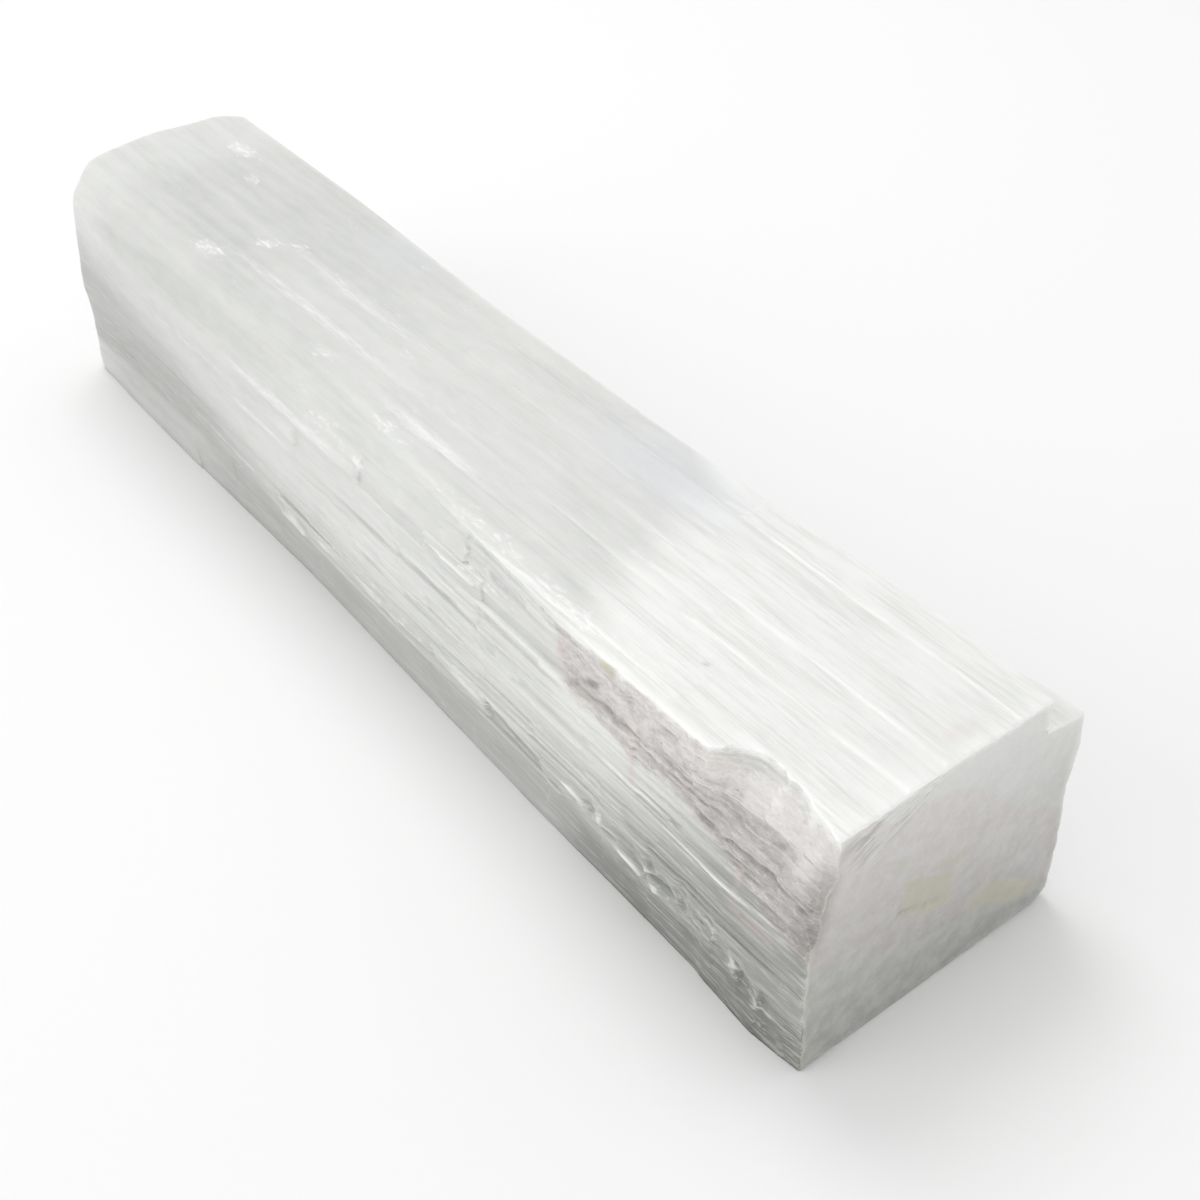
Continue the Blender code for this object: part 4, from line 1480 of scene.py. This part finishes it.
@dataclass
class NodeBench:
    """Adds nodes to one material or group, and joins them."""

    tree: bpy.types.NodeTree

    def add(self, kind: str, **settings: object) -> bpy.types.Node:
        """Add a node and set its properties.

        Args:
            kind: Type of the node.
            **settings: Properties and their values.

        Returns:
            The node.
        """
        node = self.tree.nodes.new(kind)
        for name, value in settings.items():
            setattr(node, name, value)
        return node

    def feed(self, socket: bpy.types.NodeSocket, value: object) -> None:
        """Join a socket to another one, or give it a plain value.

        Args:
            socket: Input to feed.
            value: Output to join it to, or a plain value.
        """
        if isinstance(value, bpy.types.NodeSocket):
            self.tree.links.new(value, socket)
        else:
            socket.default_value = value

    def maths(self, operation: str, first: object, second: object = 0.0) -> bpy.types.NodeSocket:
        """One step of arithmetic on two numbers.

        Args:
            operation: What to do with the numbers.
            first: First number.
            second: Second number.

        Returns:
            The result.
        """
        node = self.add("ShaderNodeMath", operation=operation)
        self.feed(node.inputs[0], first)
        self.feed(node.inputs[1], second)
        return node.outputs[0]

    def ease(self, value: object, low: float, high: float, top: float = 1.0) -> bpy.types.NodeSocket:
        """Ease from 0 to top as value goes from low to high.

        Args:
            value: Number to ease.
            low: Where the result is 0.
            high: Where the result is top.
            top: Largest result.

        Returns:
            The eased number.
        """
        node = self.add("ShaderNodeMapRange", interpolation_type="SMOOTHSTEP")
        for name, number in (("Value", value), ("From Min", low), ("From Max", high), ("To Max", top)):
            self.feed(node.inputs[name], number)
        return node.outputs["Result"]

    def mix(self, share: object, first: object, second: object) -> bpy.types.NodeSocket:
        """Mix two colours.

        Args:
            share: Share of the second colour.
            first: First colour.
            second: Second colour.

        Returns:
            The mixed colour.
        """
        node = self.add("ShaderNodeMix", data_type="RGBA")
        self.feed(node.inputs["Factor"], share)
        self.feed(node.inputs[6], first)
        self.feed(node.inputs[7], second)
        return node.outputs[2]

    def lay(self, colour: object, *layers: tuple[object, object, object]) -> bpy.types.NodeSocket:
        """Lay tints over a colour, one after another.

        Args:
            colour: The colour under them.
            *layers: Where each tint shows, its greatest strength, and the tint.

        Returns:
            The colour on top.
        """
        for cover, most, tint in layers:
            share = cover if most == FULL else self.maths("MULTIPLY", cover, most)
            colour = self.mix(share, colour, tint)
        return colour

    def bump(self, shader: bpy.types.Node, height: object, strength: float, depth: float) -> None:
        """Turn a height into the small bumps of a shader's surface.

        Args:
            shader: The shader.
            height: The height, from 0 to 1.
            strength: Share of the bumps that shows.
            depth: Their depth in millimetres.
        """
        node = self.add("ShaderNodeBump")
        node.inputs["Strength"].default_value = strength
        node.inputs["Distance"].default_value = depth * MM
        self.feed(node.inputs["Height"], height)
        self.feed(shader.inputs["Normal"], node.outputs["Normal"])

    def stretch(self, place: object, sizes: object) -> bpy.types.NodeSocket:
        """Divide a place by the size of a pattern along each axis.

        Args:
            place: The place.
            sizes: The pattern's size along each axis.

        Returns:
            The place, in the pattern's own units.
        """
        node = self.add("ShaderNodeVectorMath", operation="DIVIDE")
        self.feed(node.inputs[0], place)
        self.feed(node.inputs[1], sizes)
        return node.outputs[0]

    def grain(self, place: object, sizes: object, detail: float, roughness: float) -> bpy.types.NodeSocket:
        """Soft random pattern.

        Args:
            place: The place.
            sizes: The pattern's size along each axis.
            detail: How many finer layers the pattern has.
            roughness: How strong the finer layers are.

        Returns:
            The pattern, from 0 to 1.
        """
        node = self.add("ShaderNodeTexNoise")
        self.feed(node.inputs["Vector"], self.stretch(place, sizes))
        for name, number in (("Scale", 1.0), ("Detail", detail), ("Roughness", roughness)):
            self.feed(node.inputs[name], number)
        return node.outputs["Fac"]

    def turned(self, place: object, degrees: float) -> bpy.types.NodeSocket:
        """Turn a place about the log's length.

        Args:
            place: The place.
            degrees: How far to turn it.

        Returns:
            The turned place.
        """
        node = self.add("ShaderNodeVectorRotate", rotation_type="X_AXIS")
        self.feed(node.inputs["Vector"], place)
        node.inputs["Angle"].default_value = math.radians(degrees)
        return node.outputs[0]

    def fan(self, place: object) -> bpy.types.NodeSocket:
        """Distance across (Y) and angle (Z) of a place in the sawn end's fan of cleavage lines.

        Args:
            place: The place, in millimetres.

        Returns:
            The place in the fan.
        """
        away = self.add("ShaderNodeVectorMath", operation="SUBTRACT")
        away.inputs[0].default_value = (0.0, *FAN_MEETS)
        self.feed(away.inputs[1], place)
        parts = self.add("ShaderNodeSeparateXYZ")
        self.feed(parts.inputs[0], away.outputs[0])
        angle = self.maths("ARCTAN2", parts.outputs["Z"], parts.outputs["Y"])
        joined = self.add("ShaderNodeCombineXYZ")
        self.feed(joined.inputs["Y"], parts.outputs["Y"])
        self.feed(joined.inputs["Z"], angle)
        return joined.outputs[0]

    def mark(self, name: str) -> bpy.types.NodeSocket:
        """Read one of the mesh's own marks."""
        return self.add("ShaderNodeAttribute", attribute_name=name).outputs["Fac"]

    def place_in_mm(self) -> bpy.types.NodeSocket:
        """The log's own coordinates, in millimetres.

        Returns:
            The place, in millimetres.
        """
        own = self.add("ShaderNodeTexCoord").outputs["Object"]
        node = self.add("ShaderNodeVectorMath", operation="SCALE")
        self.feed(node.inputs[0], own)
        node.inputs["Scale"].default_value = 1.0 / MM
        return node.outputs[0]

    def use(self, group: bpy.types.NodeTree, **values: object) -> bpy.types.Node:
        """Place a node group and feed its inputs.

        Args:
            group: The group.
            **values: What each input gets, with _ for a space in its name.

        Returns:
            The node that stands for the group.
        """
        node = self.add("ShaderNodeGroup")
        node.node_tree = group
        for name, value in values.items():
            self.feed(node.inputs[name.replace("_", " ")], value)
        return node


def new_group(name: str, inputs: dict[str, str], outputs: dict[str, str]) -> tuple[NodeBench, dict, dict]:
    """Start a shader node group.

    Args:
        name: Name of the group.
        inputs: Socket type of each input.
        outputs: Socket type of each output.

    Returns:
        A bench on the group, its inputs by name, and the output node's sockets by name.
    """
    tree = bpy.data.node_groups.new(name, "ShaderNodeTree")
    for side, sockets in (("INPUT", inputs), ("OUTPUT", outputs)):
        for label, kind in sockets.items():
            tree.interface.new_socket(name=label, in_out=side, socket_type=kind)
    start = tree.nodes.new("NodeGroupInput")
    end = tree.nodes.new("NodeGroupOutput")
    return NodeBench(tree), start.outputs, end.inputs


VALUE, VECTOR = "NodeSocketFloat", "NodeSocketVector"


class StoneGroups:
    """Node groups of the stone's finishes."""

    def __init__(self) -> None:
        """Build each group once."""
        self.streaks = self.build_streaks()
        self.veils = self.build_veils()
        self.stain = self.build_stain()
        self.flecks_and_glints = self.build_flecks_and_glints()

    @staticmethod
    def build_streaks() -> bpy.types.NodeTree:
        """Fine parallel fibres: a tone that varies across them, and their height.

        Returns:
            The finished group.
        """
        bench, given, out = new_group("Fibre streaks", {"Place": VECTOR},
                                      {"Tone": VALUE, "Threads": VALUE, "Height": VALUE})
        broad = bench.grain(given["Place"], (60.0, 2.6, 2.6), 3.0, 0.5)
        fine = bench.grain(given["Place"], (12.0, 0.5, 0.5), 3.0, 0.6)
        threads = bench.grain(given["Place"], (5.0, 0.18, 0.18), 2.0, 0.6)
        bench.feed(out["Tone"], bench.ease(broad, 0.32, 0.68))
        threads = bench.maths("MULTIPLY", threads, 0.4)
        mixed = bench.maths("ADD", bench.maths("MULTIPLY", fine, 0.6), threads)
        bench.feed(out["Threads"], bench.ease(mixed, 0.36, 0.64))
        bench.feed(out["Height"], mixed)
        return bench.tree

    @staticmethod
    def build_veils() -> bpy.types.NodeTree:
        """Cloudy veils inside the stone, from clearer to milkier.

        Returns:
            The finished group.
        """
        bench, given, out = new_group("Cloudy veils", {"Place": VECTOR, "Size": VALUE}, {"Milk": VALUE})
        cloud = bench.grain(bench.stretch(given["Place"], given["Size"]), (2.6, 1.0, 1.0), 5.0, 0.55)
        bench.feed(out["Milk"], bench.ease(cloud, 0.32, 0.68))
        return bench.tree

    @staticmethod
    def build_stain() -> bpy.types.NodeTree:
        """Mauve weathering: how far it covers, its mottling, its cracks and its grit.

        Returns:
            The finished group.
        """
        bench, given, out = new_group(
            "Weathered stain",
            {"Place": VECTOR, "Inside": VALUE, "Fray": VALUE, "Soft": VALUE},
            {"Cover": VALUE, "Mottle": VALUE, "Cracks": VALUE, "Grit": VALUE},
        )
        fray = bench.maths("SUBTRACT", bench.grain(given["Place"], (1.6, 0.9, 0.9), 4.0, 0.6), 0.5)
        edge = bench.maths("ADD", given["Inside"], bench.maths("MULTIPLY", fray, given["Fray"]))
        share = bench.maths("DIVIDE", edge, given["Soft"])
        bench.feed(out["Cover"], bench.ease(share, -0.5, 1.0))
        mottle = bench.grain(given["Place"], (2.4, 1.2, 1.2), 8.0, 0.8)
        bench.feed(out["Mottle"], bench.ease(mottle, 0.36, 0.64))
        ridge = bench.grain(given["Place"], (9.0, 1.5, 1.5), 3.0, 0.55)
        grit = bench.grain(given["Place"], (1.1, 0.5, 0.5), 4.0, 0.7)
        bench.feed(out["Grit"], grit)
        off_line = bench.maths("ABSOLUTE", bench.maths("SUBTRACT", ridge, 0.5))
        line = bench.ease(off_line, 0.016, 0.0)
        patchy = bench.grain(given["Place"], (3.0, 1.6, 1.6), 2.0, 0.6)
        inner = bench.ease(given["Inside"], 0.4, 1.6)
        shown = bench.maths("MULTIPLY", bench.ease(patchy, 0.48, 0.62), inner)
        bench.feed(out["Cracks"], bench.maths("MULTIPLY", line, shown))
        return bench.tree

    @staticmethod
    def build_flecks_and_glints() -> bpy.types.NodeTree:
        """Small white flecks where fibres have splintered, and painted glints: sparse all over, and dense in
        clusters.

        Returns:
            The finished group.
        """
        bench, given, out = new_group("White flecks", {"Place": VECTOR, "Cluster": VALUE}, {"Cover": VALUE})
        spots = bench.grain(given["Place"], (1.9, 0.7, 0.7), 3.0, 0.6)
        patchy = bench.grain(given["Place"], (11.0, 4.0, 4.0), 2.0, 0.6)
        spread = bench.maths("MAXIMUM", given["Cluster"], bench.ease(patchy, 0.52, 0.72, 0.5))
        raised = bench.maths("ADD", spots, bench.maths("MULTIPLY", spread, 0.2))
        raised = bench.maths("ADD", raised, bench.ease(given["Cluster"], 0.78, 1.0, 0.06))
        specks = bench.maths("MULTIPLY", bench.ease(raised, 0.64, 0.86, 0.85), spread)
        crushed = bench.ease(given["Cluster"], 0.7, 1.0, 0.26)
        bench.feed(out["Cover"], bench.maths("MAXIMUM", specks, crushed))
        return bench.tree


@dataclass(frozen=True)
class StoneColours:
    """Colours that both finishes of the stone share."""

    mauve: Colour = (0.70, 0.665, 0.65, 1.0)
    mauve_dark: Colour = (0.49, 0.455, 0.44, 1.0)
    mauve_pale: Colour = (0.84, 0.81, 0.795, 1.0)
    mauve_deep: Colour = (0.30, 0.28, 0.27, 1.0)
    yellow: Colour = (0.56, 0.54, 0.39, 1.0)
    blush: Colour = (0.72, 0.60, 0.60, 1.0)
    # Dark marks: grime and cracks, and painted shade.
    grime_and_shade: Colour = (0.16, 0.14, 0.13, 1.0)
    grime_and_shade_strength: float = 0.6
    milk: Colour = (0.88, 0.885, 0.86, 1.0)


@dataclass(frozen=True)
class SilkFinish:
    """Silky finish of the long cleaved faces, with painted sheen, shade and highlights."""

    # Painted sheen: the near half's silk is whiter than the far half's.
    sheen_white: Colour = (0.91, 0.92, 0.895, 1.0)
    far_white: Colour = (0.605, 0.615, 0.595, 1.0)
    sheen_edge: Colour = (0.72, 0.725, 0.79, 1.0)
    glint: Colour = (0.97, 0.97, 0.96, 1.0)
    glassy_and_shade_grey: Colour = (0.25, 0.255, 0.235, 1.0)
    grain_and_hollow_shade_grey: Colour = (0.38, 0.39, 0.36, 1.0)
    veil_size: float = 7.0
    cloud_size: float = 1.7
    evenness: float = 0.36
    roughness: float = 0.34
    stain_roughness: float = 0.25
    colours: StoneColours = StoneColours()

    def material(self, groups: StoneGroups) -> bpy.types.Material:
        """Make the material.

        Args:
            groups: Node groups that the stone's finishes share.

        Returns:
            The finished material.
        """
        material, bench, shader = new_stone("silky cleaved selenite")
        tints = self.colours
        place = bench.place_in_mm()
        painted_sheen, glass_and_shade, glint, relief = (bench.mark(name) for name in ("painted_sheen", "glass_and_shade", "glint", "relief"))
        fleck_and_glint_cluster = bench.mark("flecks_and_glints")
        streaks = bench.use(groups.streaks, Place=place).outputs
        veils = bench.use(groups.veils, Place=place, Size=self.veil_size).outputs
        clouds = bench.use(groups.veils, Place=place, Size=self.cloud_size).outputs
        stain = bench.use(groups.stain, Place=place, Inside=bench.mark("stain"), Fray=2.2, Soft=0.5).outputs
        flecks_and_glints = bench.use(groups.flecks_and_glints, Place=place, Cluster=fleck_and_glint_cluster).outputs
        combed = bench.ease(bench.grain(place, (16.0, 3.0, 3.0), 2.0, 0.6), 0.3, 0.62)
        contrast = bench.maths("MULTIPLY", bench.ease(painted_sheen, -0.6, 1.0, 0.3), combed)
        broken = bench.grain(place, (4.2, 0.42, 0.42), 4.0, 0.7)
        catching = bench.maths("ADD", glint, bench.maths("MULTIPLY", broken, 1.5))
        colour = bench.lay(
            # Painted sheen: whiter over the near half.
            bench.mix(painted_sheen, self.far_white, self.sheen_white),
            (bench.maths("SUBTRACT", 1.0, streaks["Threads"]), contrast, self.grain_and_hollow_shade_grey),
            (streaks["Tone"], bench.ease(painted_sheen, 1.6, -0.4, 0.3), tints.milk),
            (veils["Milk"], 0.16, tints.milk),
            (clouds["Milk"], 0.14, tints.milk),
            # Painted sheen: a bluish tint where the highlight across the top fades.
            (bench.mark("sheen_edge"), 0.5, self.sheen_edge),
            # Glassy grey, and painted shade that darkens the foot of the sides.
            (glass_and_shade, 0.92, self.glassy_and_shade_grey),
            (bench.ease(streaks["Threads"], 0.5, 1.0, 0.34), glass_and_shade, tints.milk),
            # Painted shade in the relief's hollows, and a painted highlight on its crests.
            (bench.ease(relief, -0.06, -0.6, 0.5), FULL, self.grain_and_hollow_shade_grey),
            (bench.ease(relief, 0.1, 0.55, 0.5), FULL, tints.milk),
            (bench.ease(catching, 1.1, 1.7), glint, self.glint),
        )
        mauve = bench.lay(
            bench.mix(stain["Mottle"], tints.mauve_dark, tints.mauve_pale),
            (self.evenness, FULL, tints.mauve),
            # Painted shade: the patch darkens towards the foot, with the glassy grey.
            (glass_and_shade, 0.8, tints.mauve_deep),
            # Painted light: paler where flecks and glints cluster, which lightens the shaded wall under the
            # bite.
            (fleck_and_glint_cluster, 1.1, tints.mauve_pale),
            (bench.ease(streaks["Threads"], 0.55, 1.0, 0.3), FULL, tints.mauve_pale),
            (bench.ease(stain["Grit"], 0.48, 0.32, 0.2), FULL, tints.mauve_deep),
            (bench.ease(stain["Grit"], 0.5, 0.66, 0.5), FULL, tints.mauve_pale),
            (stain["Cracks"], 0.6, tints.grime_and_shade),
        )
        colour = bench.lay(colour, (stain["Cover"], 0.88, mauve), (flecks_and_glints["Cover"], FULL, self.glint))
        bench.feed(shader.inputs["Base Color"], lay_marks_and_shade(bench, colour, tints, 0.8))
        duller = bench.maths("MULTIPLY", stain["Cover"], self.stain_roughness)
        bench.feed(shader.inputs["Roughness"], bench.maths("ADD", duller, self.roughness))
        fibres = bench.maths("MULTIPLY", streaks["Height"], 0.22)
        grit = bench.maths("MULTIPLY", stain["Grit"], stain["Cover"])
        bench.bump(shader, bench.maths("ADD", fibres, grit), 0.6, 0.25)
        return material


@dataclass(frozen=True)
class CutFinish:
    """Cloudy finish of the sawn end, across the fibres, with painted shade towards its bottom."""

    upper_grey: Colour = (0.76, 0.77, 0.745, 1.0)
    lower_shade_grey: Colour = (0.38, 0.39, 0.36, 1.0)
    cleavage_grey: Colour = (0.36, 0.365, 0.35, 1.0)
    cleavage_turn: float = 27.0
    veil_size: float = 2.2
    roughness: float = 0.3
    colours: StoneColours = StoneColours()

    def material(self, groups: StoneGroups) -> bpy.types.Material:
        """Make the material.

        Args:
            groups: Node groups that the stone's finishes share.

        Returns:
            The finished material.
        """
        material, bench, shader = new_stone("cloudy cut selenite")
        tints = self.colours
        place = bench.place_in_mm()
        glass_and_shade, cleavage = bench.mark("glass_and_shade"), bench.mark("cleavage")
        slanted = bench.stretch(bench.turned(place, -self.cleavage_turn), (1.0, 1.2, 1.0))
        veils = bench.use(groups.veils, Place=slanted, Size=self.veil_size).outputs
        stain = bench.use(groups.stain, Place=slanted, Inside=bench.mark("stain"), Fray=2.0, Soft=0.5).outputs
        speckle = bench.grain(place, (0.6, 0.6, 0.6), 4.0, 0.75)
        lines = bench.grain(bench.fan(place), (1.0, 6.0, 0.035), 2.0, 0.6)
        mauve = bench.lay(
            tints.mauve,
            (stain["Mottle"], 0.5, tints.mauve_pale),
            # Painted shade: the patch darkens towards the bottom of the end.
            (glass_and_shade, 0.76, tints.mauve_deep),
        )
        colour = bench.lay(
            # Painted shade: from the upper grey to the darker lower grey towards the bottom.
            bench.mix(glass_and_shade, self.upper_grey, self.lower_shade_grey),
            (stain["Cover"], 0.85, mauve),
            (veils["Milk"], 0.2, tints.milk),
            (bench.ease(speckle, 0.46, 0.72, 0.14), FULL, tints.mauve_dark),
            (bench.ease(speckle, 0.54, 0.28, 0.14), FULL, tints.mauve_pale),
            (cleavage, bench.ease(lines, 0.52, 0.64, 0.5), self.cleavage_grey),
            (cleavage, bench.ease(lines, 0.5, 0.36, 0.8), tints.milk),
        )
        bench.feed(shader.inputs["Base Color"], lay_marks_and_shade(bench, colour, tints, 0.6))
        shader.inputs["Roughness"].default_value = self.roughness
        bench.bump(shader, bench.grain(place, (0.3, 0.3, 0.3), 3.0, 0.6), 0.35, 0.05)
        return material


# Selenite's own gloss, and the glow of light that scatters inside it.
GYPSUM_IOR = 1.52
GLOW_RADIUS = (1.0, 1.0, 0.92)
GLOW_DEPTH = 2.0 * MM


def new_stone(name: str) -> tuple[bpy.types.Material, NodeBench, bpy.types.Node]:
    """Start a translucent stone material.

    Args:
        name: Name of the material.

    Returns:
        The material, a bench on its nodes, and its Principled shader.
    """
    material = bpy.data.materials.new(name)
    material.use_nodes = True
    bench = NodeBench(material.node_tree)
    shader = material.node_tree.nodes["Principled BSDF"]
    shader.inputs["IOR"].default_value = GYPSUM_IOR
    shader.inputs["Subsurface Weight"].default_value = 1.0
    shader.inputs["Subsurface Radius"].default_value = GLOW_RADIUS
    shader.inputs["Subsurface Scale"].default_value = GLOW_DEPTH
    return material, bench, shader


def lay_marks_and_shade(bench: NodeBench, colour: object, colours: StoneColours, strength: float) -> object:
    """Lay the yellow and pink marks, and the dark marks of grime and painted shade, over a colour.

    Args:
        bench: Bench of the material.
        colour: Colour of the stone under the marks.
        colours: The marks' colours.
        strength: How strongly the yellow and pink marks show.

    Returns:
        The marked colour.
    """
    return bench.lay(
        colour,
        (bench.mark("yellow"), strength, colours.yellow),
        (bench.mark("blush"), strength, colours.blush),
        (bench.mark("grime_and_shade"), colours.grime_and_shade_strength, colours.grime_and_shade),
    )


@dataclass
class LogBuilder:
    """Turns the log's surface into its dressed mesh."""

    log: SeleniteLog
    sharp_angle: float = 32.0

    def build(self) -> bpy.types.Object:
        """Make the dressed log and put it in the scene.

        Returns:
            The dressed log.
        """
        surface, polygons = self.log.surface_and_quads()
        fitted = self.fit_to_solid(surface.points)
        mesh = bpy.data.meshes.new("dressed selenite log")
        corners = [corner for block in polygons for corner in block.tolist()]
        mesh.from_pydata((fitted * MM).tolist(), [], corners)
        mesh.polygons.foreach_set("use_smooth", np.ones(len(mesh.polygons), dtype=bool))
        mesh.set_sharp_from_angle(angle=math.radians(self.sharp_angle))
        self.add_marks(mesh, surface)
        self.add_finishes(mesh, polygons)
        mesh.validate()
        piece = bpy.data.objects.new("dressed_selenite_log", mesh)
        bpy.context.scene.collection.objects.link(piece)
        return piece

    @staticmethod
    def fit_to_solid(points: Array) -> Array:
        """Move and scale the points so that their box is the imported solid's box, in millimetres.

        Args:
            points: The log's points, in millimetres.

        Returns:
            The fitted points.
        """
        low, high = (np.array(corner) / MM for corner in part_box(NODE))
        first, last = points.min(axis=0), points.max(axis=0)
        return low + (points - first) * (high - low) / (last - first)

    @staticmethod
    def add_marks(mesh: bpy.types.Mesh, surface: LogSurface) -> None:
        """Store what the finishes need to know about each point.

        Args:
            mesh: The dressed mesh.
            surface: Its points.
        """
        marks = {
            "stain": surface.stain(),
            "painted_sheen": surface.painted_sheen(),
            "glass_and_shade": surface.glassiness_and_shade(),
            "relief": surface.relief,
            "cleavage": surface.cleavage(),
            "yellow": surface.blots(YELLOW_BLOTS),
            "grime_and_shade": surface.blots(GRIME_AND_SHADE_BLOTS),
            "blush": surface.blots(BLUSH_BLOTS),
            "glint": surface.blots(GLINT_BLOTS),
            "sheen_edge": surface.blots(SHEEN_EDGE_BLOTS),
            "flecks_and_glints": surface.blots(FLECK_AND_GLINT_BLOTS),
        }
        for name, values in marks.items():
            attribute = mesh.attributes.new(name, "FLOAT", "POINT")
            attribute.data.foreach_set("value", values.astype(np.float32))

    @staticmethod
    def add_finishes(mesh: bpy.types.Mesh, polygons: list[Array]) -> None:
        """Give the sawn end the cloudy finish and everything else the silky one.

        Args:
            mesh: The dressed mesh.
            polygons: Its faces, block by block.
        """
        groups = StoneGroups()
        mesh.materials.append(SilkFinish().material(groups))
        mesh.materials.append(CutFinish().material(groups))
        sawn = np.concatenate([np.full(len(block), number in SAWN_BLOCKS, dtype=np.int32)
                               for number, block in enumerate(polygons)])
        mesh.polygons.foreach_set("material_index", sawn)


@dataclass(frozen=True)
class Softbox:
    """A soft lamp: its place, what it is turned to, its size and its power."""

    name: str
    place: tuple[float, float, float]
    aim: tuple[float, float, float]
    size: float
    power: float

    def build(self) -> None:
        """Put the lamp in the scene."""
        lamp = bpy.data.lights.new(self.name, "AREA")
        lamp.shape = "SQUARE"
        lamp.size = self.size
        lamp.energy = self.power
        holder = bpy.data.objects.new(self.name, lamp)
        direction = Vector(self.aim) - Vector(self.place)
        holder.rotation_euler = direction.to_track_quat("-Z", "Y").to_euler()
        holder.location = self.place
        bpy.context.scene.collection.objects.link(holder)


@dataclass
class Studio:
    """Pale floor, soft light and camera."""

    floor_half: float = 3.0
    floor_colour: Colour = (0.97, 0.97, 0.97, 1.0)
    floor_roughness: float = 0.8
    sky_colour: Colour = (1.0, 1.0, 1.0, 1.0)
    sky_strength: float = 0.74
    camera_place: tuple[float, float, float] = (0.20224, -0.12738, 0.18688)
    azimuth: float = 52.88
    elevation: float = 38.67
    roll: float = 0.25
    lens: float = 56.49
    sensor_width: float = 36.0
    clip_start: float = 0.01
    softboxes: tuple[Softbox, ...] = (
        Softbox("silk softbox", (-0.315, 0.10, 0.74), (0.06, 0.0, 0.03), 0.38, 1.6),
        Softbox("side softbox", (-0.15, -0.75, 0.45), (-0.02, 0.0, 0.02), 0.6, 1.2),
    )

    def build(self) -> None:
        """Put the studio in the scene."""
        self.build_floor()
        self.build_sky()
        for softbox in self.softboxes:
            softbox.build()
        self.build_camera()

    def build_floor(self) -> None:
        """A wide level floor under the log."""
        half = self.floor_half
        corners = [(-half, -half, 0.0), (half, -half, 0.0), (half, half, 0.0), (-half, half, 0.0)]
        mesh = bpy.data.meshes.new("floor")
        mesh.from_pydata(corners, [], [(0, 1, 2, 3)])
        material = bpy.data.materials.new("matt white floor")
        material.use_nodes = True
        shader = material.node_tree.nodes["Principled BSDF"]
        shader.inputs["Base Color"].default_value = self.floor_colour
        shader.inputs["Roughness"].default_value = self.floor_roughness
        mesh.materials.append(material)
        floor = bpy.data.objects.new("floor", mesh)
        bpy.context.scene.collection.objects.link(floor)

    def build_sky(self) -> None:
        """Even soft light from all round."""
        world = bpy.data.worlds.new("soft room")
        world.use_nodes = True
        background = world.node_tree.nodes["Background"]
        background.inputs["Color"].default_value = self.sky_colour
        background.inputs["Strength"].default_value = self.sky_strength
        bpy.context.scene.world = world
        bpy.context.scene.view_settings.view_transform = "Standard"

    def build_camera(self) -> None:
        """The camera, above and to the right of the sawn end."""
        camera = bpy.data.objects.new("camera", bpy.data.cameras.new("camera"))
        camera.data.sensor_width = self.sensor_width
        camera.data.lens = self.lens
        camera.data.clip_start = self.clip_start
        turn = Matrix.Rotation(math.radians(self.azimuth), 4, "Z")
        tilt = Matrix.Rotation(math.radians(90.0 - self.elevation), 4, "X")
        roll = Matrix.Rotation(math.radians(self.roll), 4, "Z")
        camera.matrix_world = Matrix.Translation(self.camera_place) @ turn @ tilt @ roll
        bpy.context.scene.collection.objects.link(camera)
        bpy.context.scene.camera = camera


def main() -> None:
    """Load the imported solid, dress the log and set up the studio."""
    logging.basicConfig(level=logging.INFO, format="%(name)s: %(message)s")
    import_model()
    piece = LogBuilder(SeleniteLog()).build()
    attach(piece, "root")
    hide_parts(NODE)
    triangles = sum(len(polygon.vertices) - 2 for polygon in piece.data.polygons)
    LOG.info("%s: %d triangles", piece.name, triangles)
    Studio().build()


if __name__ == "__main__":
    main()
